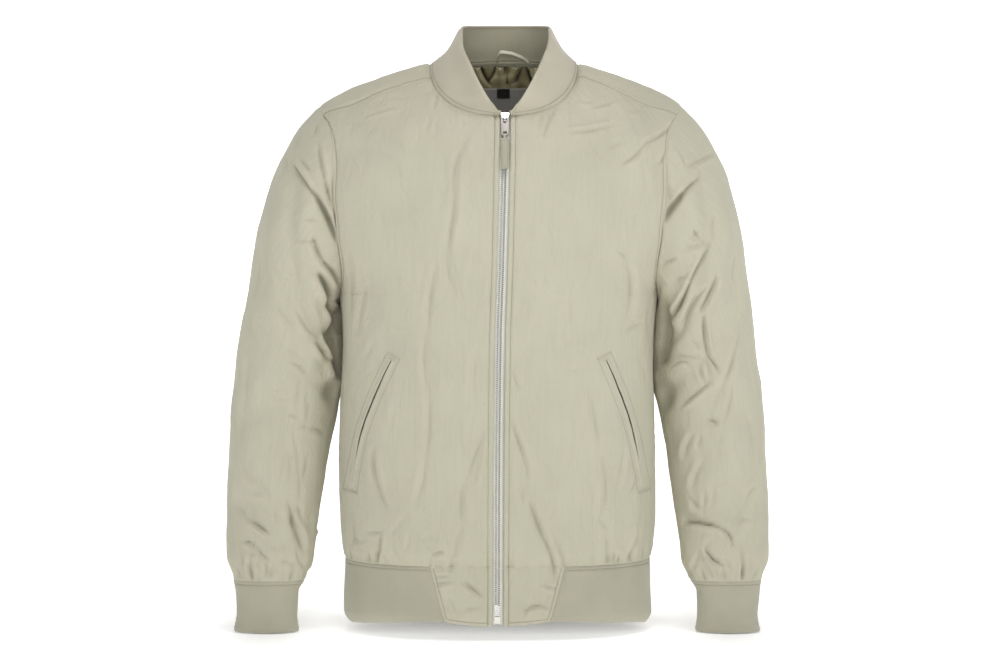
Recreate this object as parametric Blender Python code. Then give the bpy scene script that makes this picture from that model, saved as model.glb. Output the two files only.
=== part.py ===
"""A bomber jacket in its worn, hollow form, as closed solids of cloth and metal.

Metres, +Z up, the front of the jacket to -Y and the wearer's left to +X. The origin is in the middle of the neck
opening, level with the points where the shoulders meet the neck.

Every cloth panel starts as part of one skin, the outer face of the whole garment, worked out in millimetres from
rings round the body and round each sleeve. The skin is cut along the seams, and each panel gets its thickness
towards the inside. What lies on a panel is placed by casting lines onto that panel's faces.
"""

import math

import bmesh
import bpy
import numpy as np
from mathutils import Matrix, Vector
from mathutils.bvhtree import BVHTree

# Everything below is in millimetres and degrees; meshes are scaled to metres when they are made.
MM = 0.001

# Cloth and seams
CLOTH = 2.2  # the body cloth with its lining
RIB = 2.8  # the doubled knit of collar, hem and cuffs
SEAM_GAP = 0.4  # between two panels at their seam
CORNER_LEAST = 0.5  # the least squared length of a corner's step back, so that a narrow corner isn't pushed far
SHARP_ANGLE = 40  # in degrees: edges that turn more than this stay sharp
LAY_GAP = 0.9  # between a panel and what lies on it

# The body, ring by ring. A ring is a rounded oval whose height changes from its side to its front and back.
BODY_COLUMNS = (
    "level", "z_side", "z_front", "z_back", "half_width", "y_front", "y_back",
    "squareness", "front_bend", "back_bend",
)
BODY_ROWS = (
    (0.0, -695, -682, -690, 184.0, -114, 101, 2.4, 1.5, 1.5),  # foot of the hem band, turned in a little
    (0.22, -681, -669, -677, 190.5, -119, 106, 2.4, 1.5, 1.5),
    (1.0, -615, -616, -615, 189.5, -121, 106, 2.4, 1.5, 1.5),  # seam of the hem band
    (1.3, -598, -598, -598, 193.0, -130, 114, 2.4, 1.5, 1.5),  # the cloth puffs out over the band
    (2.0, -560, -560, -560, 195.5, -136, 118, 2.4, 1.5, 1.5),
    (3.0, -480, -480, -480, 196.5, -139, 117, 2.4, 1.5, 1.5),
    (4.0, -360, -361, -358, 192.5, -140, 113, 2.4, 1.5, 1.5),
    (5.0, -288, -293, -285, 197.5, -140, 118, 2.3, 1.5, 1.5),  # the underarm
    (6.0, -200, -236, -222, 228.0, -140, 123, 2.2, 1.4, 1.4),
    (7.0, -115, -184, -163, 246.0, -138.5, 126.5, 2.1, 1.3, 1.3),
    (7.5, -80, -163, -135, 243.0, -135.5, 125.5, 2.1, 1.4, 1.4),
    (8.0, -53, -146, -110, 226.0, -131.5, 121.5, 2.1, 1.5, 1.5),  # the shoulder's tip
    (8.5, -33, -128, -84, 191.0, -125, 115, 2.2, 1.4, 1.5),
    (9.0, -19, -109, -54, 155.0, -116, 104, 2.4, 1.45, 1.5),
    (10.0, 0, -75, 10, 92.0, -98, 78, 2.7, 1.25, 1.5),  # the neck seam
)
Y_SIDE = 4.0  # how far behind the origin the rings' sides are
UNDERARM, TIP, NECK = 5.0, 8.0, 10.0  # levels in the table
ZIP_EDGE = 8.0  # from the middle of the zip to a front's edge
FRONT_END_TOP, FRONT_END_FOOT = 81.0, 63.0  # half width of the two self-fabric ends in the hem band
FRONT_DROP = 6.0  # how much lower the ends reach at the zip

# The rows of points, by level, and how many columns lie between the seams
FRONT_COLUMNS, END_COLUMNS, BACK_COLUMNS = 12, 3, 22
BAND_LEVELS = np.array([0, 0.22, 0.6, 1.0])  # the hem band
FINE_LEVELS = np.array([1.0, 1.13, 1.3])  # the gathers above it, with twice the columns
LOW_LEVELS = np.array([1.65, 2.2, 2.75, 3.3, 3.85, 4.4, UNDERARM])
YOKE_LEVELS = np.array([TIP, 8.14, 8.36, 8.66, 9.1, 9.55, NECK])

# The armhole's edge, in degrees round the ring from its side: a bulge at mid height and a lead at the tip
ARM_FRONT = {"bulge": 32.0, "tip": 15.0}
ARM_BACK = {"bulge": 33.0, "tip": 7.0}
ARM_ROUND = 2.4  # how square the armhole's outline is
ARM_STEPS = 10  # rows of points between underarm and tip

# The forward shoulder seam: its angle from centre front, by body level
SHOULDER_COLUMNS = ("level", "angle")
SHOULDER_ROWS = ((8.0, 75.0), (8.5, 71.0), (9.2, 73.0), (10.0, 76.0))

# A small lean to one side: how far all points, and those near the middle, move in x, by height
LEAN_COLUMNS = ("z", "all", "middle")
LEAN_ROWS = (
    (-690, -3.1, 0.0),
    (-500, -3.1, 0.6),
    (-345, -2.8, 2.0),
    (-255, -1.2, 3.3),
    (-75, 0.6, 5.5),
    (60, 2.2, 5.5),
)
LEAN_REACH = 200.0

# A sleeve, ring by ring: the ring's outer and inner ends across the body, and its front and back
SLEEVE_COLUMNS = ("along", "outer_x", "outer_z", "inner_x", "inner_z", "y_front", "y_back")
SLEEVE_ROWS = (
    (0, 226, -53, 197.5, -288, -77, 76),
    (30, 251, -80, 203.0, -298, -77, 80),
    (70, 269, -110, 204.5, -309, -76, 82),
    (120, 286, -150, 203.5, -326, -74, 83),
    (180, 299, -201, 200.5, -346, -68, 81),
    (240, 308, -254, 198.5, -368, -60, 76),
    (300, 317, -308, 198.5, -392, -53, 69),
    (350, 324, -356, 200.0, -419, -47, 62),
    (400, 329, -404, 204.5, -448, -44, 54),
    (450, 332.5, -452, 210.5, -482, -45, 45),
    (500, 334.5, -500, 216.5, -518, -48, 36),
    (545, 336, -546, 222.0, -555, -53, 27),
    (585, 335, -586, 226.5, -590, -58, 18),
    (612, 332.5, -613, 229.5, -614, -61, 8),
    (640, 325, -640, 238.0, -640, -60, -9),
)
CUFF_SEAM = 640.0
CUFF_ROWS = (
    (640, 325, -640, 238.0, -640, -60, -9),
    (654, 321.5, -654, 246.5, -654, -58, -12),
    (682, 320, -682, 247.5, -682, -57, -12),
    (703, 323.5, -703, 245.0, -703, -59, -10),
)
SLEEVE_COARSE_AT = (0, 20, 45, 78, 114, 152, 192, 232, 272, 312, 352, 392, 432, 472, 512, 550)
SLEEVE_FINE_AT = (585, 608, 628, 640)  # the gathers above the cuff, with twice the columns
CUFF_AT = (640, 654, 682, 703)
TOP_TURN = 10.0  # degrees round the sleeve from its top to the armhole's two top corners
CAP_LONG = 170.0  # how far down the sleeve the armhole's own shape fades out
FOLDS_FROM = 60.0  # how far down the sleeve its folds reach their full depth
SLEEVE_RADIUS = 62.0  # for the folds' distances round the sleeve

# The collar's upper edge and its middle, both as rings over the neck seam
COLLAR_COLUMNS = ("share", *BODY_COLUMNS[1:])
COLLAR_ROWS = (
    (0.0, 0, -75, 10, 92.0, -98, 78, 2.7, 1.25, 1.5),
    (0.4, 17, -69, 29, 70.5, -101, 70, 2.5, 2.0, 1.3),
    (1.0, 44, -64, 57, 55.5, -104, 62, 2.3, 2.7, 0.9),
)
COLLAR_STEPS = 5

# Gathers: how far round each lies, how wide and deep it is, and how far it runs up from its seam
GATHER_COLUMNS = ("turn", "width", "depth", "length")
HEM_GATHERS = (
    (41, 6.5, 3.4, 22), (47, 6.0, 3.0, 16), (54, 7.5, 2.4, 20), (68, 8.0, 3.0, 26), (80, 7.0, 2.6, 20),
    (101, 8.0, 2.8, 26), (114, 7.0, 2.4, 20), (126, 8.5, 3.0, 24), (141, 7.0, 2.2, 18), (157, 8.0, 2.6, 22),
    (172, 7.5, 2.4, 20), (189, 8.0, 2.8, 24), (204, 7.0, 2.2, 18), (219, 8.0, 2.8, 24), (233, 7.0, 2.4, 20),
    (247, 8.0, 2.8, 26), (260, 7.0, 2.6, 20), (279, 7.0, 2.6, 20), (291, 8.0, 3.0, 24), (308, 6.5, 3.0, 18),
    (314, 6.0, 3.4, 20),
)
CUFF_GATHERS = (
    (8, 7.0, 3.2, 30), (40, 6.0, 3.6, 34), (66, 5.0, 3.4, 26), (96, 6.5, 3.8, 36), (130, 6.5, 3.0, 26),
    (164, 7.0, 3.2, 30), (196, 6.0, 3.4, 28), (228, 7.0, 3.6, 34), (262, 6.0, 3.2, 28), (296, 6.5, 3.6, 34),
    (330, 6.0, 3.0, 26),
)

# The largest folds of the sleeves: where each starts and ends along and round the sleeve, its width and its depth
FOLD_COLUMNS = ("along_0", "turn_0", "along_1", "turn_1", "width", "depth")
SLEEVE_FOLDS = (
    (70, 50, 230, 125, 16, 5.0),
    (150, 45, 260, 70, 18, -3.0),
    (300, 70, 350, 150, 18, 4.0),
    (360, 110, 420, 60, 18, 4.0),
    (470, 60, 520, 130, 20, -3.5),
    (545, 40, 560, 150, 14, 5.0),
    (110, 300, 240, 235, 18, 5.0),
    (320, 290, 370, 215, 20, 5.0),
    (440, 215, 500, 290, 20, 4.0),
    (550, 215, 560, 320, 14, 5.0),
)

# Zip
CHAIN_HALF, CHAIN_THICK, CHAIN_SUNK = 3.3, 2.4, 1.0
TAPE_INNER, TAPE_OUTER, TAPE_THICK, TAPE_SUNK = 3.6, 14.0, 1.0, 2.8
CHAIN_TOP, CHAIN_FOOT = -76.5, -674.0  # heights
TAPE_TOP, TAPE_FOOT = -70.0, -682.0
STRIP_END = 3.0  # the least distance from a strip's end to its next row of points
SLIDER = {"top": -69.5, "long": 13.0, "half": 5.9, "plate": 1.4, "web": 1.5, "web_long": 4.2}
BRIDGE = {"half": 1.6, "long": 11.0, "foot": 1.0, "post": 1.5, "rise": 2.0, "thick": 1.1}
TAB = {
    "half": 5.2, "long": 26.0, "thick": 1.3, "taper": 5.0, "foot_half": 3.2,
    "bar": 1.3, "play": 0.5, "window_half": 2.3, "window": 6.5,
}
HOLE = {"half": 2.1, "long": 3.6, "above_foot": 1.3}
PULLER = {"half": 4.6, "long": 46.0, "thick": 2.4, "ply": 0.8, "neck_half": 1.7, "through": 1.6, "tuck": 2.0}
BOX = {"half": 3.3, "long": 10.0, "thick": 2.8}
BURY = 0.1  # how far a joined piece reaches into its neighbour

# Pockets: the slit's place in the front view (half side), and its two welts
SLIT_TOP, SLIT_MIDDLE, SLIT_FOOT = (129.5, -368.0), (158.3, -440.0), (178.0, -524.0)
SLIT_ROWS = 20
WELT_WIDE, WELT_THICK, WELT_APART = 5.0, 1.2, 0.6
BEFORE = -400.0  # a depth in front of the whole jacket

# What shows inside the back neck
LINING = {"turn": 40.0, "top": 9.93, "foot": 8.45, "thick": 1.3, "gap": 0.8}  # turn in degrees, top and foot by level
LINING_COLUMNS, LINING_ROWS = 11, 7
LABEL = {"half": 38.0, "top": -18.3, "foot": -70.0, "thick": 1.0, "across": 1.5, "columns": 7, "rows": 6}
SIZE_TAB = {"half": 8.4, "top": -18.6, "foot": -30.4, "thick": 0.8, "across": -3.5, "columns": 4, "rows": 4}
CAST_FROM = 30.0  # how far inside the sheets' lines start
LOOP_COLUMNS = ("x", "z", "out")  # from the middle of the neck, and out from the collar's inner face
LOOP_PATH = (
    (-11.3, 9.5, 0.2),
    (-11.1, 15.0, 6.0),
    (-6.3, 21.0, 9.0),
    (6.3, 19.5, 9.5),
    (19.3, 15.2, 6.5),
    (28.8, 10.0, 0.2),
)
LOOP_WIDE, LOOP_THICK, LOOP_LEAN = 5.0, 1.2, 0.45
LOOP_POINTS = 16
COLLAR_CLEAR = 12.0  # the lowest height at which the collar's inner face is measured
NECK_MIDDLE = LEAN_ROWS[-1][1] + LEAN_ROWS[-1][2]

# Colours, as Blender's linear values, with roughness and metallic
SAGE = ((0.53, 0.50, 0.39, 1), 0.75, 0.0)
KNIT = ((0.41, 0.39, 0.31, 1), 0.9, 0.0)
TAPE = ((0.46, 0.46, 0.39, 1), 0.8, 0.0)
SILVER = ((0.75, 0.75, 0.76, 1), 0.3, 1.0)
SATIN = ((0.12, 0.11, 0.06, 1), 0.4, 0.0)
WOVEN = ((0.15, 0.14, 0.135, 1), 0.5, 0.0)
BLACK = ((0.01, 0.01, 0.01, 1), 0.6, 0.0)


def clear_scene():
    for thing in list(bpy.data.objects):
        bpy.data.objects.remove(thing, do_unlink=True)


def columns(names, rows):
    """A table's rows as one array for each named column."""
    return dict(zip(names, np.array(rows, float).T))


def eased(at, xs, ys):
    """A smooth curve through the points (xs, ys), read at `at`.

    Its slope at a point is the harmonic mean of the slopes on both sides, or 0 at a peak, so the curve never swings
    past its points."""
    step, rise = np.diff(xs), np.diff(ys)
    slope = rise / step
    before, after = slope[:-1], slope[1:]
    both = before + after
    harmonic = 2 * before * after / np.where(both == 0, 1, both)
    mean = np.where(before * after > 0, harmonic, 0.0)
    slopes = np.concatenate([slope[:1], mean, slope[-1:]])
    i = np.clip(np.searchsorted(xs, at, side="right") - 1, 0, len(step) - 1)
    t = (at - xs[i]) / step[i]
    start = ys[i] * (1 + 2 * t) * (1 - t) ** 2 + slopes[i] * step[i] * t * (1 - t) ** 2
    return start + ys[i + 1] * t**2 * (3 - 2 * t) + slopes[i + 1] * step[i] * t**2 * (t - 1)


def settled(points):
    """The points moved in x by the garment's lean."""
    table = columns(LEAN_COLUMNS, LEAN_ROWS)
    points = np.array(points, float)
    x, z = points[..., 0].copy(), points[..., 2]
    near = np.clip(1 - (x / LEAN_REACH) ** 2, 0, None) ** 2
    points[..., 0] = x + eased(z, table["z"], table["all"]) + near * eased(z, table["z"], table["middle"])
    return points


def ring_points(table, at, turn):
    """Points on rings of a table: `turn` is the angle from centre front towards the wearer's left, in radians.

    With e = 2 / squareness, x = half_width sin^e, and cos^e goes from 0 at the side to 1 at the front or back, where
    y and z take the front's or back's values.
    """
    first = next(iter(table))
    at, turn = np.broadcast_arrays(np.asarray(at, float), np.asarray(turn, float))
    row = {name: eased(at, table[first], table[name]) for name in table}
    power = 2 / row["squareness"]
    sine, cosine = np.sin(turn), np.cos(turn)
    along = np.abs(cosine) ** power
    front = cosine > 0
    x = row["half_width"] * np.sign(sine) * np.abs(sine) ** power
    y = Y_SIDE + (np.where(front, row["y_front"], row["y_back"]) - Y_SIDE) * along
    bend = np.where(front, row["front_bend"], row["back_bend"])
    z = row["z_side"] + (np.where(front, row["z_front"], row["z_back"]) - row["z_side"]) * along**bend
    return np.stack([x, y, z], -1)


def turn_at(level, x):
    """How far round a body ring lies the point of its front half with that x."""
    table = columns(BODY_COLUMNS, BODY_ROWS)
    half = eased(level, table["level"], table["half_width"])
    power = eased(level, table["level"], table["squareness"]) / 2
    return np.arcsin((x / half) ** power)


def gathered(points, turns, heights, gathers):
    """Points with troughs pressed in towards the axis.

    A trough's depth across it is a Gaussian. Along it, with up the share of its length above the seam, the depth is
    up (1 - up)^2 over that curve's peak, which lies at a third.
    """
    peak = 4 / 27
    table = columns(GATHER_COLUMNS, gathers)
    middle = points.mean(axis=-2, keepdims=True)
    out = points - middle
    out[..., 2] = 0
    radius = np.linalg.norm(out, axis=-1, keepdims=True)
    depth = np.zeros(points.shape[:-1])
    for turn, width, deep, length in zip(*(table[name] for name in GATHER_COLUMNS)):
        off = (np.degrees(turns) - turn + 180) % 360 - 180
        across = np.radians(off) * radius[..., 0]
        up = np.clip(heights / length, 0, 1)
        depth += deep * np.exp(-((across / width) ** 2)) * up * (1 - up) ** 2 / peak
    return points - out / np.maximum(radius, 1e-9) * depth[..., None]


def body_points(level, turn):
    """Points of the body's outer face."""
    table = columns(BODY_COLUMNS, BODY_ROWS)
    points = ring_points(table, level, turn)
    level, turn = np.broadcast_arrays(np.asarray(level, float), np.asarray(turn, float))
    hem_height = np.clip(points[..., 2] - table["z_side"][1], 0, None)
    if points.ndim == 3:
        points = gathered(points, turn, hem_height, HEM_GATHERS)
    ends = np.clip(1 - (points[..., 0] / FRONT_END_FOOT) ** 2, 0, None) * (np.cos(turn) > 0)
    points[..., 2] -= FRONT_DROP * ends * np.clip(1 - level, 0, 1)
    return settled(points)


def armhole_turn(rise, front):
    """How far round the body the armhole's edge lies at a rise of 0 at the underarm to 1 at the shoulder's tip."""
    shape = ARM_FRONT if front else ARM_BACK
    bulge = shape["bulge"] * np.sqrt(1 - np.abs(2 * rise - 1) ** ARM_ROUND)
    off = np.radians(bulge + shape["tip"] * rise**3)
    return np.pi / 2 + (-off if front else off)


def arm_rises():
    """The rises of the armhole's rows of points, underarm and tip included, close together at both ends."""
    return (1 - np.cos(np.linspace(0, np.pi, ARM_STEPS + 2))) / 2


def sleeve_turns():
    """The angles round a sleeve of its columns: from its top over the front to the underarm and up the back."""
    front = np.linspace(np.pi, np.radians(TOP_TURN), ARM_STEPS + 2)
    return np.concatenate([[0], front[::-1], 2 * np.pi - front[1:]])


def armhole_points():
    """The armhole's edge on the wearer's left, in the same order as the sleeve's columns."""
    rises = arm_rises()
    levels = UNDERARM + (TIP - UNDERARM) * rises
    front = body_points(levels, armhole_turn(rises, True))
    back = body_points(levels, armhole_turn(rises, False))
    return np.concatenate([[body_points(TIP, np.pi / 2)], front[::-1], back[1:]])


def tube_points(table, along, turns):
    """Points of the elliptic rings of a sleeve or cuff, and their centres, before the lean."""
    row = {name: eased(along, table["along"], table[name])[:, None] for name in table}
    outer = np.stack([row["outer_x"], 0 * row["outer_x"], row["outer_z"]], -1)
    inner = np.stack([row["inner_x"], 0 * row["inner_x"], row["inner_z"]], -1)
    depth = (row["y_back"] - row["y_front"])[..., None] / 2
    middle = (outer + inner) / 2
    middle[..., 1] = (row["y_back"] + row["y_front"]) / 2
    cosine, sine = np.cos(turns)[None, :, None], np.sin(turns)[None, :, None]
    return middle + (outer - inner) / 2 * cosine - np.array([0, 1, 0]) * depth * sine, middle


def fold_depth(along, turns, radius):
    """How deep the sleeve's largest folds lie, from each point's distance to the fold's line in the unrolled tube."""
    table = columns(FOLD_COLUMNS, SLEEVE_FOLDS)
    s, around = np.meshgrid(along, np.degrees(turns), indexing="ij")
    depth = np.zeros(s.shape)
    for s0, t0, s1, t1, width, deep in zip(*(table[name] for name in FOLD_COLUMNS)):
        scale = math.radians(radius)
        line = np.array([s1 - s0, (t1 - t0) * scale])
        rel = np.stack([s - s0, (around - t0) * scale], -1)
        t = np.clip(rel @ line / (line @ line), 0, 1)
        off = np.linalg.norm(rel - t[..., None] * line, axis=-1)
        depth += deep * np.exp(-((off / width) ** 2))
    return depth


def sleeve_points(along, turns):
    """Rings of the left sleeve's outer face. Near the armhole they keep its edge's shape, which fades out."""
    table = columns(SLEEVE_COLUMNS, SLEEVE_ROWS)
    points, middle = tube_points(table, along, turns)
    first, _ = tube_points(table, np.zeros(1), sleeve_turns())
    edge = armhole_points() - settled(first[0])
    at = np.append(sleeve_turns(), 2 * np.pi)
    edge = np.stack([np.interp(turns, at, np.append(e, e[0])) for e in edge.T], -1)
    fade = np.clip(1 - along / CAP_LONG, 0, 1)[:, None, None]
    deep = fold_depth(along, turns, SLEEVE_RADIUS) * np.clip(along / FOLDS_FROM, 0, 1)[:, None]
    out = points - middle
    points = points - out / np.linalg.norm(out, axis=-1, keepdims=True) * deep[..., None]
    heights = (CUFF_SEAM - along)[:, None] + 0 * turns[None, :]
    points = gathered(points, turns[None, :] + 0 * heights, heights, CUFF_GATHERS)
    return settled(points) + edge[None] * fade**2 * (3 - 2 * fade)


def mirrored(points):
    """A left sleeve's points as the right sleeve's, about the leaning middle, with the columns turned round."""
    table = columns(LEAN_COLUMNS, LEAN_ROWS)
    flipped = np.array(points)
    flipped[..., 0] = 2 * eased(points[..., 2], table["z"], table["all"]) - points[..., 0]
    return flipped[:, ::-1]


def collar_points(share, turn):
    return settled(ring_points(columns(COLLAR_COLUMNS, COLLAR_ROWS), share, turn))


class Skin:
    """The outer face of the garment, one mesh whose faces know their panel. Smooth groups of panels share normals."""

    def __init__(self, groups):
        self.mesh = bmesh.new()
        self.names = [name for group in groups for name in group]
        self.group = {name: i for i, group in enumerate(groups) for name in group}

    def face(self, panel, corners):
        self.mesh.faces.new(corners).material_index = self.names.index(panel)

    def grid(self, panel, points):
        """Adds a grid, its rows going up the panel and its columns round it, counter-clockwise from outside."""
        rows = [[self.mesh.verts.new(p) for p in row] for row in points]
        for lower, upper in zip(rows, rows[1:]):
            for a, b, c, d in zip(lower, lower[1:], upper[1:], upper):
                self.face(panel, (a, b, c, d))

    def halving(self, panel, fine, coarse, fine_below=True):
        """Adds the faces between a row of points and one with half as many."""
        fine = [self.mesh.verts.new(p) for p in fine]
        coarse = [self.mesh.verts.new(p) for p in coarse]
        for j in range(len(coarse) - 1):
            trio, pair = fine[2 * j : 2 * j + 3], coarse[j : j + 2]
            self.face(panel, (*trio, *pair[::-1]) if fine_below else (*pair, *trio[::-1]))

    def joined(self):
        bmesh.ops.remove_doubles(self.mesh, verts=self.mesh.verts, dist=0.02)
        self.mesh.normal_update()

    def normal(self, vertex, panel=None):
        """The unit normal at a vertex, from all its faces or from those of the panel's group."""
        total = Vector()
        for loop in vertex.link_loops:
            name = self.names[loop.face.material_index]
            if panel is None or self.group[name] == self.group[panel]:
                total += loop.face.normal * loop.calc_angle()
        return total.normalized()

    def panel(self, name, thick):
        """The points and faces of one panel's solid.

        Its outer points stand half a seam gap back from the seams, and its inner points lie the wall's thickness
        below them. At a seam that stands out as a ridge both panels use its shared normal, so that their inner edges
        don't meet. In a crease each uses its own.
        """
        faces = [f for f in self.mesh.faces if self.names[f.material_index] == name]
        inside = set(faces)
        rim = [e for f in faces for e in f.edges if sum(g in inside for g in e.link_faces) == 1]
        pull = {}
        for edge in rim:
            face = next(g for g in edge.link_faces if g in inside)
            line = (edge.verts[1].co - edge.verts[0].co).normalized()
            inward = face.normal.cross(line)
            inward *= 1 if inward.dot(face.calc_center_median() - edge.verts[0].co) > 0 else -1
            for vertex in edge.verts:
                pull[vertex] = pull.get(vertex, Vector()) + inward
        outer, inner, index = [], [], {}
        for face in faces:
            for vertex in face.verts:
                if vertex in index:
                    continue
                index[vertex] = len(outer)
                normal, place = self.normal(vertex, name), vertex.co.copy()
                if vertex in pull:
                    step = pull[vertex]
                    place += step * (SEAM_GAP / max(step.length_squared, CORNER_LEAST))
                    shared = self.normal(vertex)
                    normal = shared if shared.dot(step) < 0 else normal
                outer.append(place)
                inner.append(place - normal * thick)
        count = len(outer)
        polygons = [[index[v] for v in f.verts] for f in faces]
        polygons += [[count + i for i in reversed(p)] for p in polygons]
        for edge in rim:
            face = next(g for g in edge.link_faces if g in inside)
            loop = next(l for l in edge.link_loops if l.face is face)
            a, b = index[loop.vert], index[loop.link_loop_next.vert]
            polygons.append([b, a, count + a, count + b])
        return outer + inner, polygons


def material(name, look):
    colour, roughness, metallic = look
    made = bpy.data.materials.new(name)
    made.use_nodes = True
    shader = made.node_tree.nodes["Principled BSDF"]
    shader.inputs["Base Color"].default_value = colour
    shader.inputs["Roughness"].default_value = roughness
    shader.inputs["Metallic"].default_value = metallic
    return made


def collection(name):
    made = bpy.data.collections.new(name)
    bpy.context.scene.collection.children.link(made)
    return made


def add_object(name, mesh, look, home, smooth=True):
    made = bpy.data.objects.new(name, mesh)
    mesh.materials.clear()
    mesh.materials.append(material(name, look))
    if smooth:
        mesh.shade_smooth()
        mesh.set_sharp_from_angle(angle=math.radians(SHARP_ANGLE))
    home.objects.link(made)
    return made


def solid(name, points, polygons, look, home):
    """A mesh object from points in millimetres, its faces turned outwards."""
    mesh = bpy.data.meshes.new(name)
    mesh.from_pydata([Vector(p) * MM for p in points], [], polygons)
    work = bmesh.new()
    work.from_mesh(mesh)
    bmesh.ops.recalc_face_normals(work, faces=work.faces)
    work.to_mesh(mesh)
    work.free()
    return add_object(name, mesh, look, home)


def wall(name, outer, inner, look, home):
    """A closed solid between two grids of points of the same size."""
    rows, cols = outer.shape[:2]
    index = np.arange(rows * cols).reshape(rows, cols)
    faces = [index[:-1, :-1], index[:-1, 1:], index[1:, 1:], index[1:, :-1]]
    polygons = np.stack(faces, -1).reshape(-1, 4).tolist()
    polygons += [[i + rows * cols for i in reversed(p)] for p in polygons]
    ring = np.concatenate([index[0], index[1:, -1], index[-1, -2::-1], index[-2:0:-1, 0]])
    after = np.roll(ring, -1)
    polygons += np.stack([after, ring, ring + rows * cols, after + rows * cols], -1).tolist()
    return solid(name, [*outer.reshape(-1, 3), *inner.reshape(-1, 3)], polygons, look, home)


def front_turns(level, edge, fine=False):
    """The angles of a front's columns at one level, from the zip's edge to the panel's outer edge.

    The column at the corner of the self-fabric end lies the same share of the way at every level."""
    start = turn_at(level, ZIP_EDGE)
    seam_start, seam_end = turn_at(1.0, ZIP_EDGE), turn_at(1.0, FRONT_END_TOP)
    corner = (seam_end - seam_start) / (np.pi / 2 - seam_start)
    times = 2 if fine else 1
    near = np.linspace(0, corner, END_COLUMNS * times + 1)
    far = np.linspace(corner, 1, (FRONT_COLUMNS - END_COLUMNS) * times + 1)
    return start + np.concatenate([near, far[1:]]) * (edge - start)


def front_rows(levels, edges, fine=False):
    """The points of a left front's rows at those levels, out to those edges."""
    turns = np.array([front_turns(level, edge, fine) for level, edge in zip(levels, edges)])
    return np.array(levels)[:, None], turns


def back_turns(start, columns_between):
    return np.linspace(start, 2 * np.pi - start, columns_between + 1)


def seam_turn(level):
    """How far round the body the forward shoulder seam lies at a level above the shoulder's tip."""
    table = columns(SHOULDER_COLUMNS, SHOULDER_ROWS)
    return np.radians(eased(level, table["level"], table["angle"]))


def yoke_turns(level):
    """The back's columns above the shoulder's tip, with one at each ridge and one at each forward seam."""
    over = np.array([seam_turn(level), np.pi / 2])
    behind = back_turns(float(armhole_turn(1.0, False)), BACK_COLUMNS)
    return np.concatenate([over, behind, (2 * np.pi - over)[::-1]])


def neck_turns():
    """The columns of the neck seam, all the way round from the zip to the zip."""
    front = front_turns(NECK, seam_turn(NECK))
    return np.concatenate([front, yoke_turns(NECK)[1:-1], (2 * np.pi - front)[::-1]])


def add_front(skin, panel, left):
    """One front.

    From the hem up: its self-fabric end in the hem band, the finely divided rows of the gathers, the side, the
    stretch along the armhole and the stretch under the shoulder seam.
    """

    def points(level, turns):
        return body_points(level, turns if left else (2 * np.pi - turns)[:, ::-1])

    end_half = FRONT_END_FOOT + (FRONT_END_TOP - FRONT_END_FOOT) * BAND_LEVELS
    first, last = turn_at(BAND_LEVELS, ZIP_EDGE), turn_at(BAND_LEVELS, end_half)
    ends = np.linspace(first, last, 2 * END_COLUMNS + 1, axis=1)
    skin.grid(panel, points(BAND_LEVELS[:, None], ends))
    side = np.pi / 2
    level, turns = front_rows(FINE_LEVELS, [side] * len(FINE_LEVELS), fine=True)
    fine = points(level, turns)
    skin.grid(panel, fine)
    level, turns = front_rows(LOW_LEVELS, [side] * len(LOW_LEVELS))
    low = points(level, turns)
    skin.halving(panel, fine[-1], low[0])
    skin.grid(panel, low)
    rises = arm_rises()
    level, turns = front_rows(UNDERARM + (TIP - UNDERARM) * rises, armhole_turn(rises, True))
    skin.grid(panel, points(level, turns))
    level, turns = front_rows(YOKE_LEVELS, seam_turn(YOKE_LEVELS))
    skin.grid(panel, points(level, turns))


def add_back(skin):
    """The back: side to side below, between the armholes, and over both shoulders to the forward seams."""
    quarter = np.pi / 2
    fine = body_points(FINE_LEVELS[:, None], back_turns(quarter, 2 * BACK_COLUMNS)[None, :])
    skin.grid("back", fine)
    low = body_points(LOW_LEVELS[:, None], back_turns(quarter, BACK_COLUMNS)[None, :])
    skin.halving("back", fine[-1], low[0])
    skin.grid("back", low)
    rises = arm_rises()
    turns = np.array([back_turns(start, BACK_COLUMNS) for start in armhole_turn(rises, False)])
    skin.grid("back", body_points((UNDERARM + (TIP - UNDERARM) * rises)[:, None], turns))
    turns = np.array([yoke_turns(level) for level in YOKE_LEVELS])
    skin.grid("back", body_points(YOKE_LEVELS[:, None], turns))


def add_collar(skin):
    shares = np.linspace(0, 1, COLLAR_STEPS)
    skin.grid("collar", collar_points(shares[:, None], neck_turns()[None, :]))


def add_hem_rib(skin):
    """The band from one self-fabric end round the back to the other."""
    rows = []
    for level in BAND_LEVELS:
        start = turn_at(level, FRONT_END_FOOT + (FRONT_END_TOP - FRONT_END_FOOT) * level)
        front = np.linspace(start, np.pi / 2, 2 * (FRONT_COLUMNS - END_COLUMNS) + 1)
        back = back_turns(np.pi / 2, 2 * BACK_COLUMNS)
        rows.append(np.concatenate([front, back[1:-1], (2 * np.pi - front)[::-1]]))
    skin.grid("hem_rib", body_points(BAND_LEVELS[:, None], np.array(rows)))


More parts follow.
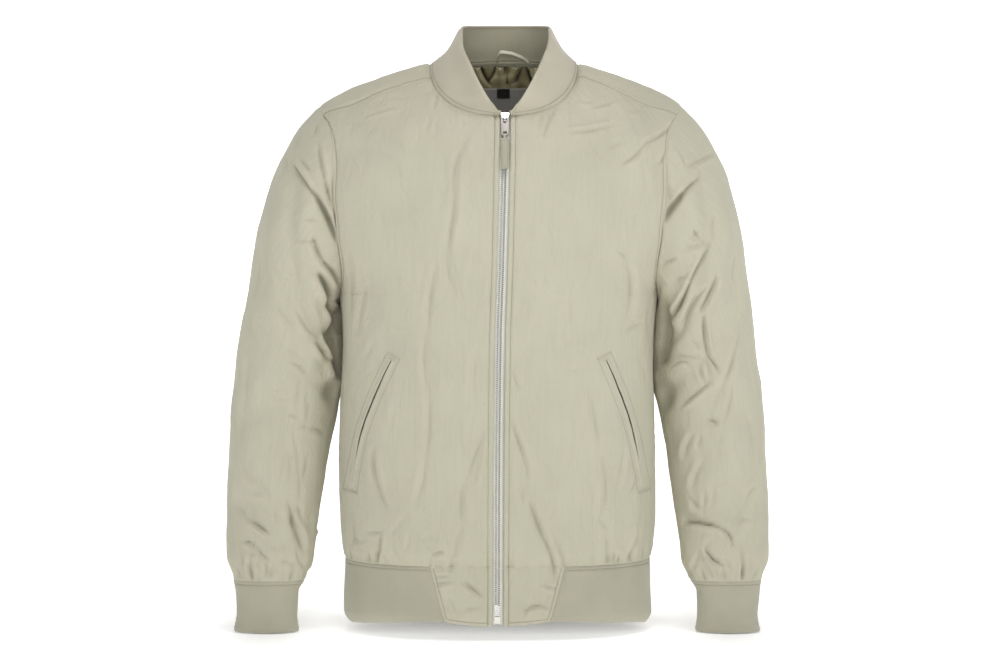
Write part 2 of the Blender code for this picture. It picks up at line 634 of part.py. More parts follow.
def add_sleeve(skin, sleeve, cuff, left):
    """A sleeve from its armhole down, with twice the columns for the gathers above the cuff, and the cuff."""
    turns = np.append(sleeve_turns(), 2 * np.pi)
    halves = (turns[:-1] + turns[1:]) / 2
    fine_turns = np.insert(turns, np.arange(1, len(turns)), halves)
    coarse = sleeve_points(np.array(SLEEVE_COARSE_AT, float), turns)
    fine = sleeve_points(np.array(SLEEVE_FINE_AT, float), fine_turns)
    band, _ = tube_points(columns(SLEEVE_COLUMNS, CUFF_ROWS), np.array(CUFF_AT, float), fine_turns)
    band = settled(band)
    if not left:
        coarse, fine, band = mirrored(coarse), mirrored(fine), mirrored(band)
    skin.grid(sleeve, coarse)
    skin.halving(sleeve, fine[0], coarse[-1], fine_below=False)
    skin.grid(sleeve, fine)
    skin.grid(cuff, band)


PANELS = {
    "front_left": (CLOTH, SAGE),
    "front_right": (CLOTH, SAGE),
    "back": (CLOTH, SAGE),
    "sleeve_left": (CLOTH, SAGE),
    "sleeve_right": (CLOTH, SAGE),
    "collar": (RIB, KNIT),
    "hem_rib": (RIB, KNIT),
    "cuff_left": (RIB, KNIT),
    "cuff_right": (RIB, KNIT),
}


def make_cloth(home):
    """The skin of the whole garment, cut into its panels."""
    skin = Skin(
        (
            ("front_left", "front_right", "back"), ("sleeve_left",), ("sleeve_right",),
            ("collar",), ("hem_rib",), ("cuff_left",), ("cuff_right",),
        )
    )
    add_front(skin, "front_left", left=True)
    add_front(skin, "front_right", left=False)
    add_back(skin)
    add_collar(skin)
    add_hem_rib(skin)
    add_sleeve(skin, "sleeve_left", "cuff_left", left=True)
    add_sleeve(skin, "sleeve_right", "cuff_right", left=False)
    skin.joined()
    made = {}
    for name, (thick, look) in PANELS.items():
        points, polygons = skin.panel(name, thick)
        made[name] = solid(name, points, polygons, look, home)
    return made


def zip_line():
    """The middle of the zip down the front, at the fronts' own levels, with the direction out of the jacket."""
    beside_arm = UNDERARM + (TIP - UNDERARM) * arm_rises()[1:]
    levels = np.concatenate([BAND_LEVELS, FINE_LEVELS[1:], LOW_LEVELS, beside_arm, YOKE_LEVELS[1:]])
    left = np.array([body_points(level, turn_at(level, ZIP_EDGE)) for level in levels])
    right = np.array([body_points(level, 2 * np.pi - turn_at(level, ZIP_EDGE)) for level in levels])
    middle = (left + right) / 2
    along = np.gradient(middle, axis=0)
    out = np.cross(along, np.array([-1.0, 0, 0]))
    out[:, 0] = 0
    out /= np.linalg.norm(out, axis=1, keepdims=True)
    out *= np.where(out[:, 1:2] > 0, -1, 1)
    return middle, out


def zip_at(z):
    """The zip's middle and outward direction at a height."""
    middle, out = zip_line()
    at = np.array([np.interp(z, middle[:, 2], middle[:, k]) for k in range(3)])
    way = np.array([np.interp(z, middle[:, 2], out[:, k]) for k in range(3)])
    return at, way / np.linalg.norm(way)


def zip_strip(name, inner_x, outer_x, sunk, thick, top, foot, look, home):
    """A strip along the zip between two distances from its middle, its face sunk below the fronts'."""
    middle, _ = zip_line()
    inside = (middle[:, 2] > foot + STRIP_END) & (middle[:, 2] < top - STRIP_END)
    heights = np.concatenate([[foot], middle[inside, 2], [top]])
    places = [zip_at(z) for z in heights]
    line = np.array([at for at, _ in places])[:, None]
    out = np.array([way for _, way in places])[:, None]
    across = np.array([inner_x, outer_x])
    back = edge_slope() * np.clip(np.abs(across) - ZIP_EDGE, 0, None)
    offset = np.stack([across, back, 0 * across], -1)[None]
    return wall(name, line + offset - out * sunk, line + offset - out * (sunk + thick), look, home)


def edge_slope():
    """How fast the chest falls back from the zip's edge, at its steepest."""
    levels = np.linspace(0, NECK, 40)
    near = np.array([body_points(v, turn_at(v, ZIP_EDGE)) for v in levels])
    far = np.array([body_points(v, turn_at(v, TAPE_OUTER)) for v in levels])
    return float(((far - near)[:, 1] / (TAPE_OUTER - ZIP_EDGE)).max())


def box(name, size, at, frame, look, home):
    """A box primitive of that size, its middle at `at`, along the axes of `frame`."""
    work = bmesh.new()
    bmesh.ops.create_cube(work, size=1.0)
    bmesh.ops.scale(work, vec=Vector(size) * MM, verts=work.verts)
    mesh = bpy.data.meshes.new(name)
    work.to_mesh(mesh)
    work.free()
    mesh.transform(frame)
    mesh.transform(Matrix.Translation(Vector(at) * MM))
    return add_object(name, mesh, look, home, smooth=False)


def union(body, others):
    """Joins other objects into one with Boolean modifiers, applied, and removes them."""
    for other in others:
        step = body.modifiers.new("join", "BOOLEAN")
        step.operation = "UNION"
        step.object = other
    mesh = bpy.data.meshes.new_from_object(body.evaluated_get(bpy.context.evaluated_depsgraph_get()))
    body.modifiers.clear()
    body.data = mesh
    for other in others:
        bpy.data.objects.remove(other, do_unlink=True)
    return body


def slider_frame():
    """Axes at the slider (x across, y into the jacket, z up along the zip) and the place of its foot."""
    low, _ = zip_at(SLIDER["top"] - SLIDER["long"])
    high, _ = zip_at(SLIDER["top"] - SLIDER["long"] / 2)
    up = Vector(high - low)
    up.x = 0
    up.normalize()
    across = Vector((1, 0, 0))
    return Matrix((across, up.cross(across), up)).transposed().to_4x4(), low


def on_slider(x, out, up):
    """A place by its distance across, out of the jacket and up the zip from the slider's foot."""
    frame, foot = slider_frame()
    return np.array(foot) + np.array(frame @ Vector((x, -out, up)))


def make_zip(home):
    """Tapes, chain, slider with its bridge, box, pull tab and puller."""
    half, inner, outer = CHAIN_HALF, TAPE_INNER, TAPE_OUTER
    zip_strip("zip_chain", -half, half, CHAIN_SUNK, CHAIN_THICK, CHAIN_TOP, CHAIN_FOOT, SILVER, home)
    zip_strip("zip_tape_left", inner, outer, TAPE_SUNK, TAPE_THICK, TAPE_TOP, TAPE_FOOT, TAPE, home)
    zip_strip("zip_tape_right", -outer, -inner, TAPE_SUNK, TAPE_THICK, TAPE_TOP, TAPE_FOOT, TAPE, home)
    make_slider(home)
    box_middle, box_out = zip_at(CHAIN_FOOT - SEAM_GAP - BOX["long"] / 2)
    box_place = box_middle - box_out * (CHAIN_SUNK + CHAIN_THICK / 2 - SEAM_GAP)
    box("zip_box", (2 * BOX["half"], BOX["thick"], BOX["long"]), box_place, Matrix(), SILVER, home)
    tab = make_tab(home)
    make_puller(home, tab)


def plates_out():
    """How far out of the jacket the slider's front plate begins and its back plate ends, both facing the zip."""
    return -CHAIN_SUNK + SEAM_GAP, -(TAPE_SUNK + TAPE_THICK + SEAM_GAP)


def make_slider(home):
    """Two plates over and under the zip, the web between them at the top, and the bridge that holds the tab."""
    frame, _ = slider_frame()
    s, b = SLIDER, BRIDGE
    front_in, back_out = plates_out()
    front_out, back_in = front_in + s["plate"], back_out - s["plate"]
    size = (2 * s["half"], s["plate"], s["long"])
    front_at = on_slider(0, (front_in + front_out) / 2, s["long"] / 2)
    back_at = on_slider(0, (back_out + back_in) / 2, s["long"] / 2)
    slider = box("zip_slider", size, front_at, frame, SILVER, home)
    back = box("back_plate", size, back_at, frame, SILVER, home)
    web_size = (2 * s["web"], front_out - back_in - 2 * BURY, s["web_long"])
    web_at = on_slider(0, (front_out + back_in) / 2, s["long"] - s["web_long"] / 2 - BURY)
    web = box("web", web_size, web_at, frame, SILVER, home)
    beam_at = on_slider(0, front_out + b["rise"] + b["thick"] / 2, b["foot"] + b["long"] / 2)
    beam = box("beam", (2 * b["half"], b["thick"], b["long"]), beam_at, frame, SILVER, home)
    post_size = (2 * (b["half"] - BURY), b["rise"] + 2 * BURY, b["post"])
    low, high = b["foot"] + b["post"] / 2 + BURY, b["foot"] + b["long"] - b["post"] / 2 - BURY
    posts = [
        box("post", post_size, on_slider(0, front_out + b["rise"] / 2, up), frame, SILVER, home)
        for up in (low, high)
    ]
    return union(slider, [back, web, beam, *posts])


def hinge_place():
    """The tab's bar under the bridge: how far out of the jacket, and how far up from the slider's foot."""
    front_in, _ = plates_out()
    out = front_in + SLIDER["plate"] + BRIDGE["rise"] / 2
    return out, BRIDGE["foot"] + BRIDGE["post"] + TAB["play"] + TAB["bar"] / 2


def rectangle(half, foot, top):
    return ((-half, foot), (half, foot), (half, top), (-half, top))


def make_tab(home):
    """The pull tab: a plate with a window round the bridge and a hole at its foot, as a filled 2D outline."""
    t, h = TAB, HOLE
    frame, _ = slider_frame()
    top = t["bar"] / 2
    foot = top - t["long"]
    shoulder = foot + t["taper"]
    upper = ((-t["half"], top), (t["half"], top))
    lower = ((t["half"], shoulder), (t["foot_half"], foot), (-t["foot_half"], foot), (-t["half"], shoulder))
    window = rectangle(t["window_half"], -top - t["window"], -top)
    hole = rectangle(h["half"], foot + h["above_foot"], foot + h["above_foot"] + h["long"])
    flat = bpy.data.curves.new("tab_outline", "CURVE")
    flat.dimensions = "2D"
    flat.fill_mode = "BOTH"
    flat.extrude = t["thick"] / 2 * MM
    for loop in ((*upper, *lower), window, hole):
        spline = flat.splines.new("POLY")
        spline.points.add(len(loop) - 1)
        spline.use_cyclic_u = True
        for point, (x, z) in zip(spline.points, loop):
            point.co = (x * MM, z * MM, 0, 1)
    drawn = bpy.data.objects.new("tab_outline", flat)
    home.objects.link(drawn)
    mesh = bpy.data.meshes.new_from_object(drawn.evaluated_get(bpy.context.evaluated_depsgraph_get()))
    bpy.data.objects.remove(drawn, do_unlink=True)
    work = bmesh.new()
    work.from_mesh(mesh)
    bmesh.ops.remove_doubles(work, verts=work.verts, dist=0.01 * MM)
    bmesh.ops.recalc_face_normals(work, faces=work.faces)
    work.to_mesh(mesh)
    work.free()
    mesh.transform(Matrix.Rotation(math.radians(90), 4, "X"))
    mesh.transform(frame)
    tab = add_object("zip_tab", mesh, SILVER, home, smooth=False)
    tab.location = Vector(on_slider(0, *hinge_place())) * MM
    return tab


def make_puller(home, tab):
    """The puller: a strap folded through the tab's hole, so a ply lies before and one behind the tab's foot."""
    t, h, p = TAB, HOLE, PULLER
    frame, _ = slider_frame()
    hinge_out, hinge_up = hinge_place()
    foot = hinge_up + t["bar"] / 2 - t["long"]
    strap_top = foot - SEAM_GAP
    strap_at = on_slider(0, hinge_out, strap_top - p["long"] / 2)
    puller = box("zip_puller", (2 * p["half"], p["thick"], p["long"]), strap_at, frame, SAGE, home)
    ply_out = t["thick"] / 2 + SEAM_GAP + p["ply"] / 2
    hole_middle = foot + h["above_foot"] + h["long"] / 2
    neck_top = hole_middle + p["through"] / 2 + BURY
    neck_low = strap_top - p["tuck"]
    ply_size = (2 * p["neck_half"], p["ply"], neck_top - neck_low)
    plies = [
        box("ply", ply_size, on_slider(0, hinge_out + way * ply_out, (neck_top + neck_low) / 2), frame, SAGE, home)
        for way in (-1, 1)
    ]
    through_size = (2 * (p["neck_half"] - BURY), 2 * ply_out, p["through"])
    through = box("through", through_size, on_slider(0, hinge_out, hole_middle), frame, SAGE, home)
    union(puller, [*plies, through])
    puller.data.transform(Matrix.Translation(-tab.location))
    puller.location = tab.location
    return puller


def faces_of(thing):
    """A tree of an object's faces, for casting lines onto them; its places are in metres."""
    mesh = thing.data
    return BVHTree.FromPolygons([v.co for v in mesh.vertices], [tuple(p.vertices) for p in mesh.polygons])


def cast(tree, x, z, start_y):
    """The depth y where a line from (x, start_y, z) towards the back first meets the faces."""
    place, _, _, _ = tree.ray_cast(Vector((x, start_y, z)) * MM, Vector((0, 1, 0)))
    return place.y / MM


def slit_line(side):
    """The pocket's slit in the front view, top to foot: a parabola through its three places."""
    places = np.array([SLIT_TOP, SLIT_MIDDLE, SLIT_FOOT])
    z = np.linspace(SLIT_TOP[1], SLIT_FOOT[1], SLIT_ROWS)
    x = np.polyval(np.polyfit(places[:, 1], places[:, 0], 2), z)
    lean = columns(LEAN_COLUMNS, LEAN_ROWS)
    return np.stack([side * x + eased(z, lean["z"], lean["all"]), z], -1)


def make_pockets(home, cloth):
    """Two welts for each pocket, laid along both edges of its slit on the front panel."""
    for panel, side, word in (("front_left", 1, "left"), ("front_right", -1, "right")):
        tree = faces_of(cloth[panel])
        line = slit_line(side)
        along = np.gradient(line, axis=0)
        across = np.stack([-along[:, 1], along[:, 0]], -1)
        across /= np.linalg.norm(across, axis=1, keepdims=True)
        across *= np.where(across[:, :1] * side > 0, 1, -1)
        for name, way in (("fore", -1), ("aft", 1)):
            steps = way * np.array([WELT_APART / 2, WELT_APART / 2 + WELT_WIDE])
            flat = line[:, None] + across[:, None] * steps[None, :, None]
            y = np.array([[cast(tree, x, z, BEFORE) for x, z in row] for row in flat])
            under = np.stack([flat[..., 0], y - LAY_GAP, flat[..., 1]], -1)
            over = under - [0, WELT_THICK, 0]
            wall(f"pocket_{word}_{name}", over, under, SAGE, home)


def facing(points):
    """The unit normals of a grid of points, out of the jacket's back."""
    across, up = np.gradient(points, axis=1), np.gradient(points, axis=0)
    normal = np.cross(across, up)
    return normal / np.linalg.norm(normal, axis=-1, keepdims=True)


def inside_sheet(name, tree, points, thick, gap, look, home):
    """A sheet laid against the inside of what lies behind it.

    Each point is moved out until it meets that, then back by the gap. The sheet's other face lies its thickness
    further in.
    """
    out = facing(points)
    start = points - out * CAST_FROM
    outer = np.array(points)
    for i in np.ndindex(points.shape[:2]):
        place, _, _, far = tree.ray_cast(Vector(start[i]) * MM, Vector(out[i]))
        outer[i] = start[i] + out[i] * (far / MM - gap)
    return wall(name, outer, outer - out * thick, look, home)


def patch(shape, middle):
    """The points of a rectangle in the front view, where a plain back would hold it."""
    x = middle + shape["across"] - np.linspace(-shape["half"], shape["half"], shape["columns"])
    x, z = np.meshgrid(x, np.linspace(shape["foot"], shape["top"], shape["rows"]))
    return np.stack([x, 0 * x + BODY_ROWS[-1][6], z], -1)


def make_inside(home, cloth):
    """The back lining, and the neck label and the size tab on it."""
    turns = np.pi + np.radians(np.linspace(-LINING["turn"], LINING["turn"], LINING_COLUMNS))
    levels = np.linspace(LINING["foot"], LINING["top"], LINING_ROWS)
    places = body_points(levels[:, None], turns[None, :])
    back = faces_of(cloth["back"])
    lining = inside_sheet("back_lining", back, places, LINING["thick"], LINING["gap"], SATIN, home)
    on_lining = patch(LABEL, NECK_MIDDLE)
    label = inside_sheet("neck_label", faces_of(lining), on_lining, LABEL["thick"], LAY_GAP, WOVEN, home)
    on_label = patch(SIZE_TAB, NECK_MIDDLE)
    inside_sheet("size_tab", faces_of(label), on_label, SIZE_TAB["thick"], SEAM_GAP, BLACK, home)


def make_loop(home, cloth):
    """The hanger loop, a strap along its path in front of the collar's inner face."""
    path = columns(LOOP_COLUMNS, LOOP_PATH)
    steps = np.arange(len(LOOP_PATH), dtype=float)
    at = np.linspace(0, steps[-1], LOOP_POINTS)
    x, z, out = (eased(at, steps, path[name]) for name in LOOP_COLUMNS)
    x = x + NECK_MIDDLE
    tree = faces_of(cloth["collar"])
    y = np.array([cast(tree, px, max(pz, COLLAR_CLEAR), 0.0) for px, pz in zip(x, z)]) - out
    lean = np.array([0, -LOOP_LEAN, 1.0]) / np.hypot(LOOP_LEAN, 1.0)
    line = np.stack([x, y, z], -1)
    normal = np.cross(np.gradient(line, axis=0), lean)
    normal /= np.linalg.norm(normal, axis=1, keepdims=True)
    normal *= np.where(normal[:, 1:2] > 0, -1, 1)
    strap = line[:, None] + lean * np.array([0, LOOP_WIDE])[None, :, None]
    wall("hanger_loop", strap + normal[:, None] * LOOP_THICK, strap, SAGE, home)


clear_scene()
jacket = collection("bomber_jacket")
panels = make_cloth(jacket)
make_zip(jacket)
make_pockets(jacket, panels)
make_inside(jacket, panels)
make_loop(jacket, panels)
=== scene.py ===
"""A bomber jacket of sage cotton twill with a rib knit collar, hem band and cuffs, dressed over its frame."""

import bmesh
import bpy
import numpy as np
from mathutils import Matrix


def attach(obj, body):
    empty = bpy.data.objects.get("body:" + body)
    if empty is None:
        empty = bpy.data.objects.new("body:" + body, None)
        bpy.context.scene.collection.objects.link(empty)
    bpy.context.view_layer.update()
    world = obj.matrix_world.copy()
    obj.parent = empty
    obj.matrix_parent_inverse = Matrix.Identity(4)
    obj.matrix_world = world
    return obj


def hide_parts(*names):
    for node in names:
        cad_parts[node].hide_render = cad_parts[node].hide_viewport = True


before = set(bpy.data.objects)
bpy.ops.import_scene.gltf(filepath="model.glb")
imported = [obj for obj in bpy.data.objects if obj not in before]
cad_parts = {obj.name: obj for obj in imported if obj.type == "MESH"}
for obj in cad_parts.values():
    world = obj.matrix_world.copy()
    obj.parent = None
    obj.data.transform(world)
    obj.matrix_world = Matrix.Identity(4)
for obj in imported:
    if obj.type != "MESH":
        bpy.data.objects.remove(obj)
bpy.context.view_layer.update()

# ------------------------------------------------------------------------------------------------------------
# Fronts: two pieces of peached cotton twill, each with a slanted end that runs down beside the zip into the hem.
# They are sewn to their neighbours along sunk seams, edge-stitched beside the zip and topstitched with sage thread.
# ------------------------------------------------------------------------------------------------------------
MM = 0.001  # sizes below are in millimetres unless they say otherwise, and meshes are scaled when they are made
BODY_ROWS = (  # level, z at the side, front and back, half width, y at the front and back, squareness, two bends
    (0.0, -695, -682, -690, 184.0, -114, 101, 2.4, 1.5, 1.5),
    (0.22, -681, -669, -677, 190.5, -119, 106, 2.4, 1.5, 1.5),
    (1.0, -615, -616, -615, 189.5, -121, 106, 2.4, 1.5, 1.5),
    (1.3, -598, -598, -598, 193.0, -130, 114, 2.4, 1.5, 1.5),
    (2.0, -560, -560, -560, 195.5, -136, 118, 2.4, 1.5, 1.5),
    (3.0, -480, -480, -480, 196.5, -139, 117, 2.4, 1.5, 1.5),
    (4.0, -360, -361, -358, 192.5, -140, 113, 2.4, 1.5, 1.5),
    (5.0, -288, -293, -285, 197.5, -140, 118, 2.3, 1.5, 1.5),
    (6.0, -200, -236, -222, 228.0, -140, 123, 2.2, 1.4, 1.4),
    (7.0, -115, -184, -163, 246.0, -138.5, 126.5, 2.1, 1.3, 1.3),
    (7.5, -80, -163, -135, 243.0, -135.5, 125.5, 2.1, 1.4, 1.4),
    (8.0, -53, -146, -110, 226.0, -131.5, 121.5, 2.1, 1.5, 1.5),
    (8.5, -33, -128, -84, 191.0, -125, 115, 2.2, 1.4, 1.5),
    (9.0, -19, -109, -54, 155.0, -116, 104, 2.4, 1.45, 1.5),
    (10.0, 0, -75, 10, 92.0, -98, 78, 2.7, 1.25, 1.5),
)
Y_SIDE = 4.0  # where the body is widest
HEM, UNDERARM, TIP, NECK = 1.0, 5.0, 8.0, 10.0  # the body's levels at its seams
END_TOP, END_FOOT, END_DROP = 81.0, 63.0, 6.0  # the slanted ends' half widths, and how much lower they reach
LEAN_ROWS = (  # z, how far all of the garment leans in x there, and its middle on top of that
    (-690, -3.1, 0.0),
    (-500, -3.1, 0.6),
    (-345, -2.8, 2.0),
    (-255, -1.2, 3.3),
    (-75, 0.6, 5.5),
    (60, 2.2, 5.5),
)
LEAN_REACH = 200.0  # how far from the middle its own lean reaches
ARM_FRONT, ARM_BACK = (32.0, 15.0), (33.0, 7.0)  # the armhole's bulge and lead in front and behind, in degrees
ARM_SQUARE = 2.4
ARM_POINTS = 88
SHOULDER_ROWS = ((8.0, 75.0), (8.5, 71.0), (9.2, 73.0), (10.0, 76.0))  # level, and the seam's turn in degrees
ZIP_EDGE_ROWS = ((-690, -5.4, 7.5), (-500, -5.4, 7.5), (-250, -5.2, 7.4), (-60, -6.2, 7.0))  # z, both edges
HEM_GATHERS = (  # turn round the body in degrees, width, depth and length
    (41, 6.5, 3.4, 22), (47, 6.0, 3.0, 16), (54, 7.5, 2.4, 20), (68, 8.0, 3.0, 26), (80, 7.0, 2.6, 20),
    (101, 8.0, 2.8, 26), (114, 7.0, 2.4, 20), (126, 8.5, 3.0, 24), (141, 7.0, 2.2, 18), (157, 8.0, 2.6, 22),
    (172, 7.5, 2.4, 20), (189, 8.0, 2.8, 24), (204, 7.0, 2.2, 18), (219, 8.0, 2.8, 24), (233, 7.0, 2.4, 20),
    (247, 8.0, 2.8, 26), (260, 7.0, 2.6, 20), (279, 7.0, 2.6, 20), (291, 8.0, 3.0, 24), (308, 6.5, 3.0, 18),
    (314, 6.0, 3.4, 20),
)
CLOTH_THICK = 2.0
SEAM_PUFF, SEAM_REACH = 0.8, 2.4  # how much panels puff between their seams, and how near a seam they dip to it
ZIP_STITCH, ARM_STITCH, TIP_STITCH, END_STITCH, FOOT_STITCH = 6.2, 6.0, 3.0, 4.4, 5.0  # from each of their edges
ZIP_PUCKERS, NECK_PUCKERS = (11.0, 0.25, 7.0), (7.0, 0.9, 13.0)  # each seam's wave, its depth and its reach
SIDE_PUCKERS, HEM_PUCKERS = (10.0, 0.4, 9.0), (8.0, 1.0, 9.0)
ZIP_CALM, ZIP_CALM_REACH = 0.25, 16.0  # the share of its creases that the cloth keeps at the zip, and its reach
LIFT_OUTER, LIFT_INNER, LIFT_UNEVEN = (8.3, 0.8, 1.5), (9.2, 0.5, 1.0), 0.5  # from a level, over so many, so high
UNEVEN_ROWS = (  # wave, seed, how much longer along x, y and z, and height
    (95.0, 11, (1, 1, 1), 0.55),
    (34.0, 12, (1, 1, 1.8), 0.3),
    (15.0, 14, (1, 1, 1.4), 0.1),
    (7.0, 13, (1, 1, 9), 0.06),
)
CREASE_NARROWER, CREASE_LEAST = 0.75, 2.2  # how much narrower than their rows say creases are worn, and at least
LIP_OFF, LIP_WIDE = 1.9, 1.3  # how far beside a crease its ridge runs and how wide it is, in the crease's widths
STITCH_LIFT = 0.25  # how far the middle of a thread lies over the cloth
FRONT_DEPTH = 1.45  # how much deeper than their rows say the fronts' creases are worn
FAR = 99.0  # the distance from an edge that a place has nothing to do with
